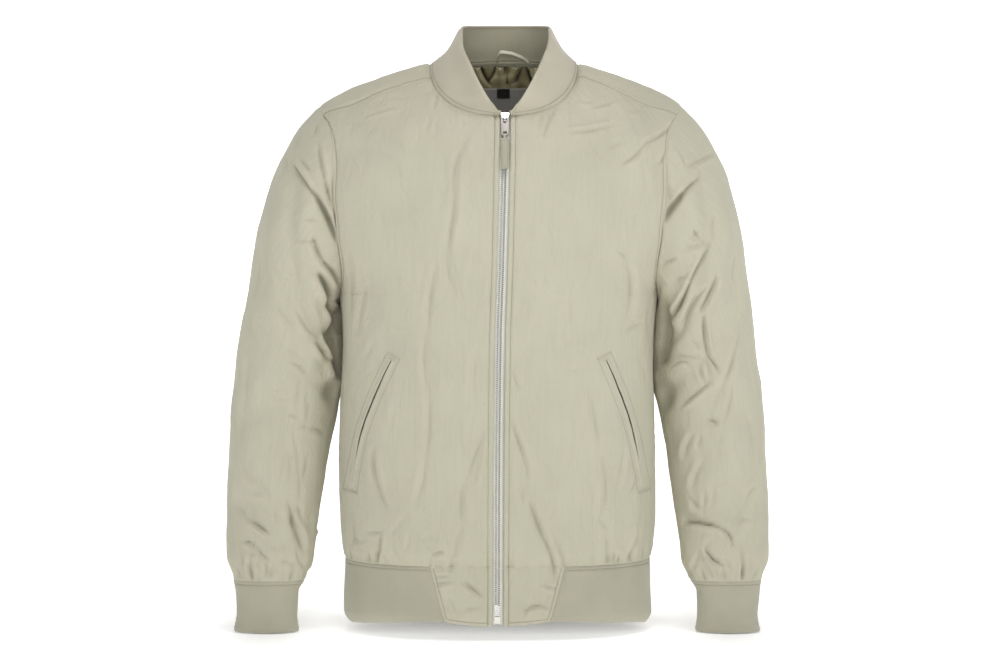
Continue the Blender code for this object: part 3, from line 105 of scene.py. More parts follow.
FRONT_CREASES = (  # x and z of both ends, bow, width, depth and lip
    (-170, -75, -125, -63, -0.2, 2.6, 1.2, 0.5), (-134, -47, -109, -53, 0.7, 2.4, 0.9, 0.4),
    (-98, -46, -77, -41, 0.5, 2.2, 1, 0.5), (-77, -42, -81, -69, -0.8, 2.4, 2, 0.5),
    (-83, -76, -92, -100, -0.9, 2.6, 1.2, 0.5), (-76, -74, -79, -104, -1.2, 2.4, 1, 0.4),
    (-96, -90, -100, -114, -1.1, 2.6, 0.9, 0.4), (-71, -50, -68, -81, -1.1, 1.9, 0.9, 0.3),
    (-64, -56, -61, -88, -1.3, 1.9, 0.8, 0.3), (-56, -62, -54, -90, -1.6, 1.9, 0.8, 0.3),
    (-47, -67, -45, -93, -1.2, 1.9, 0.7, 0.3), (-39, -70, -36, -91, -0.2, 1.9, 0.7, 0.3),
    (-36, -98, -55, -174, 6.6, 6, 1.8, -0.45), (-53, -162, -64, -245, -2.4, 5, 2.2, -0.45),
    (-63, -238, -51, -293, 4.5, 4.8, 1.4, 0.4), (-76, -252, -85, -340, 2.6, 4.8, 2, 0.4),
    (-87, -333, -86, -407, 3.4, 4.3, 1.5, 0.4), (-85, -397, -90, -499, -3.6, 5.4, 1.9, 0.6),
    (-87, -489, -102, -545, -1.9, 5, 1.6, 0.5), (-162, -277, -173, -340, 0.3, 4.8, 1.7, -0.4),
    (-149, -342, -167, -372, -1, 3.8, 1.1, 0.4), (-90, -252, -94, -290, -0.4, 4.1, 0.8, 0.4),
    (-107, -233, -106, -283, -0.7, 4.1, 0.8, 0.4), (-26, -231, -35, -269, 1.4, 3.8, 0.9, 0.4),
    (-35, -260, -35, -297, 1.9, 3.8, 0.7, 0.4), (-20, -113, -25, -167, 0.3, 3.6, 0.7, 0.3),
    (-65, -130, -66, -191, 0.8, 4.2, 0.6, 0.3), (-125, -419, -135, -464, 0.1, 3.8, 1, 0.4),
    (-28, -352, -32, -417, -0.3, 5, 1.4, 0.4), (-16, -451, -40, -511, 0.3, 4.1, 2, -0.5),
    (-20, -471, -30, -517, 0.3, 2.9, 2.2, -0.6), (-41, -508, -44, -567, 3.6, 6, 1.9, -0.4),
    (-46, -561, -61, -620, -1.9, 5.4, 1.5, -0.4), (-152, -474, -145, -527, 2.9, 4.8, 2.6, -0.6),
    (-147, -517, -137, -546, 0.8, 3.8, 1.8, -0.5), (-112, -552, -131, -576, -1.1, 2.6, 1.3, 0.5),
    (-162, -576, -139, -575, 0.9, 2.6, 1.6, 0.5), (-144, -574, -151, -616, -2.4, 3.1, 3.2, -0.5),
    (-142, -597, -136, -612, 0.5, 2.2, 1.8, 0.4), (-106, -569, -112, -599, -0.5, 3.1, 1.3, 0.4),
    (-95, -583, -73, -584, -4, 4.8, 1.2, 0.3), (-82, -601, -65, -597, -0.6, 2.6, 2.6, 0.6),
    (-82, -628, -57, -627, -0.5, 2.4, 2, -0.5), (-81, -636, -54, -632, 0.7, 2.4, 2, 0.5),
    (-50, -602, -62, -623, -1.5, 3.4, 1.3, 0.4), (-44, -631, -20, -652, 0.9, 3.4, 3, 0.6),
    (-60, -653, -51, -675, 0.5, 2.4, 1.6, 0.4), (-67, -655, -60, -674, 0.7, 2.4, 1.4, 0.4),
    (-47, -667, -16, -665, -1.2, 2.6, 1.6, 0.5), (-181, -554, -181, -599, -2.3, 4.8, 1.5, 0.4),
    (-180, -584, -162, -586, 3.3, 3.6, 1.4, 0.4), (-129, -590, -120, -612, -1, 2.9, 1.4, 0.4),
    (-172, -595, -154, -602, 1.2, 3.1, 1.2, 0.4), (69, -61, 52, -104, 1.9, 2.4, 2.6, 0.6),
    (51, -70, 45, -87, -0.2, 2.2, 1.2, 0.4), (59, -66, 56, -80, 0.9, 2.2, 1, 0.4),
    (40, -73, 36, -89, 0, 2.2, 0.8, 0.4), (85, -50, 84, -108, -0.5, 2.2, 1, 0.4),
    (80, -96, 142, -83, 3, 2.9, 2.4, -0.7), (109, -65, 143, -51, 1.9, 3.1, 1.6, 0.6),
    (93, -54, 115, -56, 2.8, 3.1, 1, 0.5), (153, -67, 174, -58, 3.5, 2.6, 1, 0.4),
    (169, -111, 216, -77, 3.7, 4.1, 2.2, -0.5), (142, -136, 177, -107, 3.9, 3.6, 2, 0.5),
    (187, -136, 206, -105, 4.7, 2.9, 1.8, -0.5), (127, -117, 150, -105, -0.9, 4.1, 1, 0.4),
    (170, -133, 178, -174, -2.2, 4.1, 1.1, -0.5), (166, -191, 161, -214, 0.2, 3.4, 0.9, 0.4),
    (150, -199, 155, -230, -2.7, 3.6, 0.8, 0.4), (139, -237, 155, -248, -0.1, 2.6, 1.5, 0.5),
    (151, -247, 154, -321, -5.7, 6, 2.4, -0.5), (152, -337, 176, -324, -3.4, 3.1, 1.6, -0.5),
    (84, -283, 87, -340, 0.5, 3.1, 1.2, 0.4), (92, -259, 87, -288, -1.2, 3.1, 0.9, 0.4),
    (23, -295, 34, -304, 0.2, 2.9, 1, 0.4), (49, -264, 58, -286, 0.4, 4.8, 1, 0.4),
    (47, -307, 41, -344, 1.5, 4.1, 0.8, 0.4), (33, -226, 41, -262, 1.2, 4.3, 0.7, 0.4),
    (58, -174, 57, -224, -1, 4.3, 0.7, 0.4), (31, -118, 28, -169, -0, 3.1, 0.8, 0.4),
    (13, -380, 24, -406, 0.3, 2.9, 1.9, -0.5), (23, -398, 21, -425, -1.7, 2.9, 1.1, 0.4),
    (35, -413, 40, -431, 0.4, 3.1, 0.7, 0.4), (12, -439, 31, -496, -1.2, 3.4, 2.8, -0.6),
    (30, -487, 34, -517, -0.3, 3.6, 1.8, -0.4), (25, -508, 28, -544, 0.3, 3.8, 1.6, 0.4),
    (33, -530, 58, -594, 1, 4.8, 3.2, -0.6), (54, -582, 66, -632, -2, 3.4, 3, -0.5),
    (64, -575, 78, -622, -1, 3.1, 1.7, 0.4), (108, -397, 121, -483, 1.2, 5, 1.8, 0.5),
    (120, -476, 123, -558, -5.7, 5, 1.9, 0.5), (94, -483, 105, -549, -2.4, 5, 1, 0.4),
    (150, -468, 141, -525, -0.8, 3.4, 1.7, -0.5), (166, -512, 156, -535, 0.4, 3.6, 1.2, 0.4),
    (120, -558, 132, -574, 0.8, 2.9, 1.6, 0.5), (127, -570, 130, -617, 0.1, 3.1, 1.9, -0.4),
    (137, -597, 137, -619, -0.3, 2.2, 2.8, 0.4), (159, -603, 162, -620, 1.1, 2.2, 2.2, 0.4),
    (92, -595, 93, -613, -0.8, 2.4, 1.2, 0.4), (109, -598, 109, -615, -1.2, 2.4, 1.2, 0.4),
    (170, -573, 153, -611, -3.5, 4.1, 1.8, 0.8), (74, -383, 101, -371, 4, 3.8, 1.1, -0.4),
    (45, -392, 74, -390, 0.6, 4.1, 0.8, 0.4), (49, -634, 69, -641, 2.1, 2.6, 2, 0.5),
    (28, -672, 59, -667, -7.4, 2.9, 2.6, 0.7), (23, -659, 33, -671, 0, 2.4, 1.2, 0.4),
    (61, -643, 52, -662, -1.4, 2.9, 1, 0.4), (170, -366, 178, -408, -3.4, 4.8, 1.2, 0.4),
    (184, -296, 185, -360, 3, 4.8, 1.3, 0.4), (-182, -236, -183, -332, -1.3, 6, 1.4, -0.4),
)
# painted shade: the dark colour mixed into the twill in the troughs of its folds, where shade falls
PAINTED_TROUGH_SHADE = "#716F57"
FRONT_STEP = 2.7  # how far apart the fronts' rows and columns of points lie
END_LONG, SIDE_LONG = 72.0, 170.0  # a row's length, near enough, over the slanted end and from it to the side seam
END_TURN, SIDE_TURN, YOKE_TURN = 0.3, 0.8, 1.1  # the turns in radians at which each stretch's rows are spaced


def columns(rows):
    """The columns of a table of rows, as arrays."""
    return np.array(rows, float).T


def eased(at, xs, ys):
    """A smooth curve through the points (xs, ys): a cubic Hermite whose slope at a point is the harmonic mean of
    the slopes on both sides, or 0 at a peak."""
    step, rise = np.diff(xs), np.diff(ys)
    slope = rise / step
    before, after = slope[:-1], slope[1:]
    both = before + after
    mean = np.where(before * after > 0, 2 * before * after / np.where(both == 0, 1, both), 0.0)
    slopes = np.concatenate([slope[:1], mean, slope[-1:]])
    i = np.clip(np.searchsorted(xs, at, side="right") - 1, 0, len(step) - 1)
    t = (at - xs[i]) / step[i]
    start = ys[i] * (1 + 2 * t) * (1 - t) ** 2 + slopes[i] * step[i] * t * (1 - t) ** 2
    return start + ys[i + 1] * t**2 * (3 - 2 * t) + slopes[i + 1] * step[i] * t**2 * (t - 1)


def leans(z):
    """How far the garment leans in x at a height: all of it, and its middle on top of that."""
    z_at, whole, middle = columns(LEAN_ROWS)
    return eased(z, z_at, whole), eased(z, z_at, middle)


def settled(points):
    """The points moved in x by the garment's lean: one part for all, one that fades as (1 - (x / reach)^2)^2."""
    x = points[..., 0]
    whole, middle = leans(points[..., 2])
    moved = np.array(points)
    moved[..., 0] = x + whole + np.clip(1 - (x / LEAN_REACH) ** 2, 0, None) ** 2 * middle
    return moved


def blunt(wave, power):
    """A sine or cosine whose size is raised to a power, which squares or sharpens the loop it makes."""
    return np.sign(wave) * np.abs(wave) ** power


def ring(rows, at, turn):
    """Rounded ovals: with e = 2 / square, x = half sin^e, and cos^e leads y and z from the side's to the front's
    or back's."""
    at, turn = np.broadcast_arrays(np.asarray(at, float), np.asarray(turn, float))
    table = columns(rows)
    _, z_side, z_front, z_back, half, y_front, y_back, square, bend_front, bend_back = (
        eased(at, table[0], column) for column in table
    )
    power = 2 / square
    along, front = np.abs(np.cos(turn)) ** power, np.cos(turn) > 0
    x = half * blunt(np.sin(turn), power)
    y = Y_SIDE + (np.where(front, y_front, y_back) - Y_SIDE) * along
    bend = np.where(front, bend_front, bend_back)
    z = z_side + (np.where(front, z_front, z_back) - z_side) * along**bend
    return np.stack([x, y, z], -1)


def body(level, turn):
    """The body's plain form: its rings, whose foot drops towards the zip at the slanted ends."""
    points = ring(BODY_ROWS, level, turn)
    ends = np.clip(1 - (points[..., 0] / END_FOOT) ** 2, 0, None) * (np.cos(turn) > 0)
    points[..., 2] -= END_DROP * ends * np.clip(1 - level, 0, 1)
    return settled(points)


def slopes(surface, u, v):
    """How fast a surface's points move along each of its two parameters, by central differences."""
    small = 1e-3
    along_u = (surface(u + small, v) - surface(u - small, v)) / (2 * small)
    along_v = (surface(u, v + small) - surface(u, v - small)) / (2 * small)
    return along_u, along_v


def speeds(surface, u, v):
    """How far a surface's points move for each of its two parameters."""
    return [np.linalg.norm(way, axis=-1) for way in slopes(surface, u, v)]


def unit(vectors):
    """Vectors at length one."""
    return vectors / np.maximum(np.linalg.norm(vectors, axis=-1, keepdims=True), 1e-12)


def outward(surface, u, v):
    """The unit normal of a surface, from the cross product of its slopes round it and up it."""
    up, round_it = slopes(surface, u, v)
    return unit(np.cross(round_it, up))


def turn_at(level, x):
    """How far round a body ring its front half has that x, before the lean."""
    table = columns(BODY_ROWS)
    half, square = eased(level, table[0], table[4]), eased(level, table[0], table[7])
    return np.sign(x) * np.arcsin(np.clip(np.abs(x) / half, 0, 1) ** (square / 2))


def armhole_turn(rise, shape):
    """How far round the body the armhole's edge lies, at a rise of 0 at the underarm to 1 at the shoulder's tip:
    90 degrees less bulge * sqrt(1 - |2 rise - 1|^square) and lead * rise^3 (more, for the back's edge)."""
    bulge, lead = shape
    off = np.radians(bulge * np.sqrt(1 - np.abs(2 * rise - 1) ** ARM_SQUARE) + lead * rise**3)
    return np.pi / 2 + (-off if shape is ARM_FRONT else off)


def armhole_level(rise):
    """The body's level at a rise up the armhole."""
    return UNDERARM + (TIP - UNDERARM) * rise


def run_of(line):
    """How far along a line of points each of them lies."""
    return np.concatenate([[0], np.cumsum(np.linalg.norm(np.diff(line, axis=0), axis=1))])


def armhole_rises(shape):
    """Rises whose places lie evenly along the armhole's edge."""
    fine = (1 - np.cos(np.linspace(0, np.pi, 1500))) / 2
    length = run_of(body(armhole_level(fine), armhole_turn(fine, shape)))
    return np.interp(np.linspace(0, length[-1], ARM_POINTS), length, fine)


def seam_turn(level):
    """How far round the body the forward shoulder seam lies."""
    level_at, degrees = columns(SHOULDER_ROWS)
    return np.radians(eased(level, level_at, degrees))


def panel_edge(level, shape):
    """How far round the body a panel's outer seam lies: up its side, the armhole and the shoulder."""
    rise = np.clip((level - UNDERARM) / (TIP - UNDERARM), 0, 1)
    return np.where(level > TIP, seam_turn(np.clip(level, TIP, NECK)), armhole_turn(rise, shape))


def slant_turn(level):
    """How far round the body a front's slanted end reaches at a level of the hem band."""
    return turn_at(level, END_FOOT + (END_TOP - END_FOOT) * level)


def zip_middle(z):
    """The x of the zip's middle at a height: what the lean makes of x = 0."""
    whole, middle = leans(z)
    return whole + middle


def trough(distance, width):
    """A soft bell across a line: exp(-(distance / width)^2)."""
    return np.exp(-((distance / width) ** 2))


def furrow(distance, width):
    """A crease's section: half a soft bell, half exp(-|distance| / (0.75 width)), whose foot is sharp."""
    return (trough(distance, width) + np.exp(-np.abs(distance) / (0.75 * width))) / 2


def creased(x, z, rows):
    """Creases on a panel, placed in x and z. Across its line, which bows sideways as a parabola, each is a
    trough with a ridge beside it; along its line it fades out at both ends."""
    height = np.zeros(x.shape)
    for x0, z0, x1, z1, bow, width, depth, lip in rows:
        width = max(CREASE_NARROWER * width, CREASE_LEAST)
        length = np.hypot(x1 - x0, z1 - z0)
        ex, ez = (x1 - x0) / length, (z1 - z0) / length
        along = ((x - x0) * ex + (z - z0) * ez) / length
        arch = np.clip(4 * along * (1 - along), 0, 1)
        aside = (x - x0) * ez - (z - z0) * ex - bow * arch
        ridge = abs(lip) * trough(aside - np.sign(lip) * LIP_OFF * width, LIP_WIDE * width)
        height += depth * (ridge - furrow(aside, width)) * arch**0.75
    return height


def rolling(points, wave, seed, stretch=(1.0, 1.0, 1.0)):
    """Soft unevenness: the sum of cosines of seeded directions and phases, with that wavelength."""
    count = 24
    chance = np.random.default_rng(seed)
    ways = unit(chance.normal(size=(count, 3))) * (2 * np.pi / wave) * chance.uniform(0.7, 1.3, (count, 1))
    phases = chance.uniform(0, 2 * np.pi, count)
    total = np.zeros(points.shape[:-1])
    for way, phase in zip(ways / np.array(stretch), phases):
        total += np.cos(points @ way + phase)
    return total * np.sqrt(2 / count)


def uneven(place):
    """The cloth's own unevenness, which runs on over the seams: slow waves, shallow ones and fine crinkles."""
    return sum(rolling(place, wave, seed, stretch) * high for wave, seed, stretch, high in UNEVEN_ROWS)


def gathered(turn, radius, height, rows):
    """Gathers over a seam: bells across, and up (1 - up)^2 along, with up their share of the length."""
    depth = np.zeros(np.broadcast(turn, height).shape)
    for at, width, deep, length in rows:
        off = (np.degrees(turn) - at + 180) % 360 - 180
        up = np.clip(height / length, 0, 1)
        depth -= deep * furrow(np.radians(off) * radius, 0.85 * width) * up * (1 - up) ** 2 * 27 / 4
    return depth


def puckered(along, distance, wave, deep, reach, seed):
    """Fine puckers that a seam draws into the cloth: uneven waves along it that fade as exp(-distance / reach)."""
    chance = np.random.default_rng(seed)
    waves = wave * chance.uniform(0.6, 1.7, 7)
    phases = chance.uniform(0, 2 * np.pi, 7)
    total = sum(np.cos(2 * np.pi * along / w + p) for w, p in zip(waves, phases)) / np.sqrt(7)
    return deep * total * np.exp(-np.clip(distance, 0, None) / reach)


def pressed(distance, deep, reach):
    """A seam's edge, which dips to its stitches: -deep exp(-(distance / reach)^2)."""
    return -deep * trough(distance, reach)


def met(relief, *gaps):
    """A panel's relief with a little puff, which dips to nothing at its seams, where it meets its neighbours."""
    share = np.ones(np.shape(relief))
    for gap in gaps:
        share = share * (1 - trough(gap, SEAM_REACH))
    return (relief + SEAM_PUFF) * share


def shoulder_lift(level, turn, neck):
    """How much the cloth rides up over the shoulders towards the neck, most on the wearer's right."""
    outer, inner = (np.clip((level - start) / run, 0, 1) for start, run, _ in (LIFT_OUTER, LIFT_INNER))
    rise = LIFT_OUTER[2] * outer + (LIFT_INNER[2] - LIFT_UNEVEN * np.sin(turn)) * inner
    return rise * (1 - trough(neck, 6.0))


def hem_relief(level, turn, place):
    """The gathers and puckers over the hem band's seam."""
    over = np.clip(place[..., 2] - BODY_ROWS[2][1], 0, None)
    radius = np.hypot(place[..., 0], place[..., 1])
    relief = gathered(turn, radius, over, HEM_GATHERS) * (level > HEM)
    return relief + puckered(turn * radius, over, *HEM_PUCKERS, 5) * (level > HEM)


def front_gaps(level, turn):
    """How far a place on a front lies from its outer seam, the neck, the hem's seam and its edge at the zip."""
    up, round_it = speeds(body, level, turn)
    edge = np.where(level < HEM, slant_turn(level), panel_edge(level, ARM_FRONT))
    place = body(level, turn)
    z = place[..., 2]
    across = place[..., 0] - zip_middle(z)
    z_at, right, left = columns(ZIP_EDGE_ROWS)
    to_zip = np.where(turn > 0, across - np.interp(z, z_at, left), np.interp(z, z_at, right) - across)
    to_hem = np.where(np.abs(turn) > slant_turn(HEM), (level - HEM) * up, FAR)
    return (edge - np.abs(turn)) * round_it, (NECK - level) * up, to_hem, to_zip


def front_relief(level, turn):
    """What the sewing and wear add to the fronts' plain form."""
    place = body(level, turn)
    outer, neck, hem, zip_gap = front_gaps(level, turn)
    relief = FRONT_DEPTH * creased(place[..., 0], place[..., 2], FRONT_CREASES) + uneven(place)
    relief *= np.clip(ZIP_CALM + zip_gap / ZIP_CALM_REACH, ZIP_CALM, 1)
    relief += hem_relief(level, turn, place)
    relief += puckered(place[..., 2], zip_gap, *ZIP_PUCKERS, 21)
    relief += puckered(place[..., 0] + place[..., 2], neck, *NECK_PUCKERS, 22)
    relief = met(relief + puckered(place[..., 2], outer, *SIDE_PUCKERS, 23), outer, neck, hem)
    relief += shoulder_lift(level, turn, neck) + pressed(zip_gap, 0.7, 1.2)
    relief += pressed(outer - ARM_STITCH, 0.9, 1.4) * (level > UNDERARM) + pressed(zip_gap - ZIP_STITCH, 1.1, 1.3)
    foot = level * speeds(body, level, turn)[0]
    end = pressed(outer - END_STITCH, 0.7, 1.2) + pressed(foot - FOOT_STITCH, 0.7, 1.3) + pressed(foot, 1.2, 2.0)
    return relief + end * (level < HEM)


def front_face(level, turn):
    """The fronts' outer face, turns above 0 on the wearer's left."""
    return body(level, turn) + outward(body, level, turn) * front_relief(level, turn)[..., None]


RIM, FINE_RIM = (0.0, 0.8, 1.9, 3.6), (0.0, 0.8, 1.8, 3.0, 4.0, 4.9, 5.9, 7.2)  # where the points beside an edge lie
EDGE_RIM = (0.0, 0.8, 1.8, 3.2, 4.4, 5.3, 6.2, 7.1, 8.4)


def rimmed(length, step, rim=RIM):
    """Shares along a length: close together at both ends, where the cloth dips to its seams, and a step apart."""
    near = np.array(rim) / length
    between = np.linspace(near[-1], 1 - near[-1], max(int(length / step), 2))[1:-1]
    return np.concatenate([near, between, 1 - near[::-1]])


def evenly(surface, turn, first, last, step, rim=RIM):
    """Levels from first to last whose places lie about a step apart at that turn."""
    fine = np.linspace(first, last, 600)
    length = run_of(surface(fine, np.full(600, turn)))
    return np.interp(rimmed(length[-1], step, rim) * length[-1], length, fine)


def corners(rows, across, wraps=False):
    """The corner numbers of a grid's faces, counter-clockwise seen from outside. One that wraps joins its ends."""
    first = np.arange(rows - 1)[:, None] * across + np.arange(across if wraps else across - 1)[None, :]
    right = first + 1
    if wraps:
        right[:, -1] = np.arange(rows - 1) * across
    return np.stack([first, right, right + across, first + across], -1).reshape(-1, 4)


def grid_mesh(name, grids, flip, wraps=False):
    """One mesh from grids, each of points in millimetres, its UV in metres and its folds' heights. Every face's
    loop takes its point's UV, and points that meet are merged."""
    points, uvs, folds, faces, count = [], [], [], [], 0
    for place, uv, fold in grids:
        points.append(place.reshape(-1, 3))
        uvs.append(uv.reshape(-1, 2))
        folds.append(np.broadcast_to(fold, place.shape[:-1]).ravel())
        faces.append(corners(*place.shape[:2], wraps) + count)
        count += len(points[-1])
    points, uvs, folds, faces = (np.concatenate(x) for x in (points, uvs, folds, faces))
    if flip:
        faces = faces[:, ::-1]
    mesh = bpy.data.meshes.new(name)
    mesh.vertices.add(len(points))
    mesh.vertices.foreach_set("co", (points * MM).astype(np.float32).ravel())
    mesh.loops.add(faces.size)
    mesh.loops.foreach_set("vertex_index", faces.astype(np.int32).ravel())
    mesh.polygons.add(len(faces))
    mesh.polygons.foreach_set("loop_start", np.arange(0, faces.size, 4, dtype=np.int32))
    mesh.update(calc_edges=True)
    layer = mesh.uv_layers.new(name="cloth")
    layer.uv.foreach_set("vector", uvs[faces.ravel()].astype(np.float32).ravel())
    height = mesh.attributes.new("fold", "FLOAT", "POINT")
    height.data.foreach_set("value", folds.astype(np.float32))
    work = bmesh.new()
    work.from_mesh(mesh)
    bmesh.ops.remove_doubles(work, verts=work.verts, dist=0.02 * MM)
    work.to_mesh(mesh)
    work.free()
    mesh.shade_smooth()
    return mesh


def arc_uv(points, middle=0):
    """UV in metres: how far each point lies from a middle column along its row, and from the foot up."""
    steps = np.linalg.norm(np.diff(points, axis=1), axis=-1)
    across = np.concatenate([np.zeros((len(points), 1)), np.cumsum(steps, axis=1)], axis=1)
    across -= across[:, middle : middle + 1]
    rise = np.linalg.norm(np.diff(points, axis=0), axis=-1)
    up = np.concatenate([np.zeros((1, points.shape[1])), np.cumsum(rise, axis=0)], axis=0)
    return np.stack([across, up], -1) * MM


def add_piece(name, mesh, look, body_name="jacket", nodes=()):
    """An object for the mesh, with its material, riding on its body, in place of its CAD nodes."""
    made = bpy.data.objects.new(name, mesh)
    bpy.context.scene.collection.objects.link(made)
    mesh.materials.append(look)
    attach(made, body_name)
    if nodes:
        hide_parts(*nodes)
    return made


def cloth_piece(name, grids, look, node, flip=False):
    """A sheet of cloth in place of one CAD node, as a single mesh of its grids."""
    return add_piece(name, grid_mesh(name, grids, flip=flip), look, nodes=(node,))


def walled(piece, thick):
    """Gives a sheet its thickness, on its inner side."""
    wall = piece.modifiers.new("wall", "SOLIDIFY")
    wall.thickness = thick * MM
    wall.offset = -1
    return wall


def linear(code):
    """An sRGB hex colour as linear values: c / 12.92 up to 0.04045, ((c + 0.055) / 1.055)^2.4 above."""
    values = np.array([int(code[i : i + 2], 16) for i in (1, 3, 5)]) / 255
    values = np.where(values <= 0.04045, values / 12.92, ((values + 0.055) / 1.055) ** 2.4)
    return (*values.tolist(), 1.0)


def add_node(tree, kind, links=(), values=(), **settings):
    """A node with its settings, its inputs' values and its links, both as pairs of an input and what it gets."""
    made = tree.nodes.new(kind)
    for key, value in settings.items():
        setattr(made, key, value)
    for key, value in values:
        made.inputs[key].default_value = value
    for key, source in links:
        tree.links.new(source, made.inputs[key])
    return made


def material(name, on_cloth=True):
    """An empty material, its node tree, and what its textures follow: the cloth's UV or the object's own axes."""
    made = bpy.data.materials.new(name)
    made.use_nodes = True
    tree = made.node_tree
    tree.nodes.clear()
    if on_cloth:
        return made, tree, add_node(tree, "ShaderNodeUVMap", uv_map="cloth").outputs[0]
    return made, tree, add_node(tree, "ShaderNodeTexCoord").outputs["Object"]


def finished(made, links, values):
    """The material, its tree ended by a shader with those links and values."""
    shader = add_node(made.node_tree, "ShaderNodeBsdfPrincipled", links, values)
    add_node(made.node_tree, "ShaderNodeOutputMaterial", [("Surface", shader.outputs[0])])
    return made


def maths(tree, operation, *terms):
    """A calculation on its terms, each of them a number or another node's output."""
    values = [(k, term) for k, term in enumerate(terms) if isinstance(term, float)]
    links = [(k, term) for k, term in enumerate(terms) if not isinstance(term, float)]
    return add_node(tree, "ShaderNodeMath", links, values, operation=operation).outputs[0]


def ranged(tree, source, low, high, to_low=0.0, to_high=1.0, **settings):
    """A value that runs from one end to the other while its source runs from low to high."""
    values = [("From Min", low), ("From Max", high), ("To Min", to_low), ("To Max", to_high)]
    return add_node(tree, "ShaderNodeMapRange", [("Value", source)], values, **settings).outputs[0]


def scaled(tree, place, scale):
    """A place times a scale."""
    return add_node(tree, "ShaderNodeMapping", [("Vector", place)], [("Scale", scale)]).outputs[0]


def noise(tree, place, scale, detail=2.0, warp=0.0):
    """Cloudy noise, with about that many clouds to the metre."""
    values = [("Scale", scale), ("Detail", detail), ("Distortion", warp)]
    return add_node(tree, "ShaderNodeTexNoise", [("Vector", place)], values).outputs["Fac"]


def threads(tree, place, pitch, wobble, detail=2.0, bands="DIAGONAL"):
    """Waves at a pitch in millimetres. The texture's own are 2 pi / (20 scale) long."""
    values = [("Scale", 2 * np.pi / (20 * pitch * MM)), ("Distortion", wobble), ("Detail", detail)]
    return add_node(tree, "ShaderNodeTexWave", [("Vector", place)], values, bands_direction=bands).outputs["Fac"]


def bumped(tree, height, strength, depth, under=()):
    """The normal with bumps of a depth in millimetres, over the bumps under them."""
    links, values = [("Height", height), *under], [("Strength", strength), ("Distance", depth * MM)]
    return [("Normal", add_node(tree, "ShaderNodeBump", links, values).outputs[0])]


def ramp(tree, source, stops):
    """Colours between stops, each a place and a colour."""
    made = add_node(tree, "ShaderNodeValToRGB", [("Fac", source)])
    elements = made.color_ramp.elements
    while len(elements) < len(stops):
        elements.new(0.5)
    for element, (place, colour) in zip(elements, stops):
        element.position = place
        element.color = linear(colour)
    return made.outputs["Color"]


def twill(name, light, deep, warm):
    """Peached cotton twill, washed: a matt face with a faint nap, a warmer tint on the ridges of folds and painted
    shade darkening their troughs, fine upright streaks, and small crumples from the wash. The 0.5 mm thread is
    drawn at 0.9 mm."""
    made, tree, uv = material(name)
    fold = add_node(tree, "ShaderNodeAttribute", attribute_name="fold").outputs["Fac"]
    streak, cloud = noise(tree, scaled(tree, uv, (1.0, 0.07, 1.0)), 260.0, 3.0), noise(tree, uv, 14.0, 4.0)
    slub = noise(tree, uv, 700.0)
    crumple = noise(tree, scaled(tree, uv, (1.0, 0.4, 1.0)), 42.0, 4.0, 0.9)
    rumple = noise(tree, scaled(tree, uv, (1.0, 0.5, 1.0)), 150.0, 4.0, 0.6)
    thread = threads(tree, uv, 0.9, 0.6, 1.0)
    tone = maths(tree, "MULTIPLY_ADD", streak, 0.6, cloud)
    base = ramp(tree, ranged(tree, tone, 0.45, 1.15), ((0.0, deep), (1.0, light)))
    # the ridges of folds take a warmer tint, and their troughs are painted darker with the trough shade colour
    ridge, trough_shade_share = ranged(tree, fold, 0.9, 2.6, 0.0, 0.4), ranged(tree, fold, -0.2, -4.5, 0.0, 0.5)
    for share, colour in ((ridge, warm), (trough_shade_share, PAINTED_TROUGH_SHADE)):
        links, values = [(0, share), (6, base)], [(7, linear(colour))]
        base = add_node(tree, "ShaderNodeMix", links, values, data_type="RGBA").outputs[2]
    valley = maths(tree, "ABSOLUTE", maths(tree, "SUBTRACT", crumple, 0.5))
    relief = bumped(tree, ranged(tree, valley, 0.0, 0.05), 0.6, 0.5)
    relief = bumped(tree, rumple, 0.5, 1.1, relief)
    relief = bumped(tree, streak, 0.35, 0.6, relief)
    relief = bumped(tree, slub, 0.35, 0.2, relief)
    relief = bumped(tree, thread, 0.3, 0.15, relief)
    values = [("Roughness", 0.82), ("IOR", 1.45), ("Sheen Weight", 0.12), ("Sheen Roughness", 0.5)]
    return finished(made, [("Base Color", base), *relief], values)


def thread_look(name, deep, light):
    """Spun polyester sewing thread, deeper than the cloth, which is partly its own tone and partly painted shade
    for the dips that stitches pull into the cloth, with a soft gleam.
    """
    made, tree, place = material(name, on_cloth=False)
    base = ramp(tree, noise(tree, place, 1500.0), ((0.3, deep), (0.7, light)))
    return finished(made, [("Base Color", base)], [("Roughness", 0.55), ("IOR", 1.5), ("Sheen Weight", 0.2)])


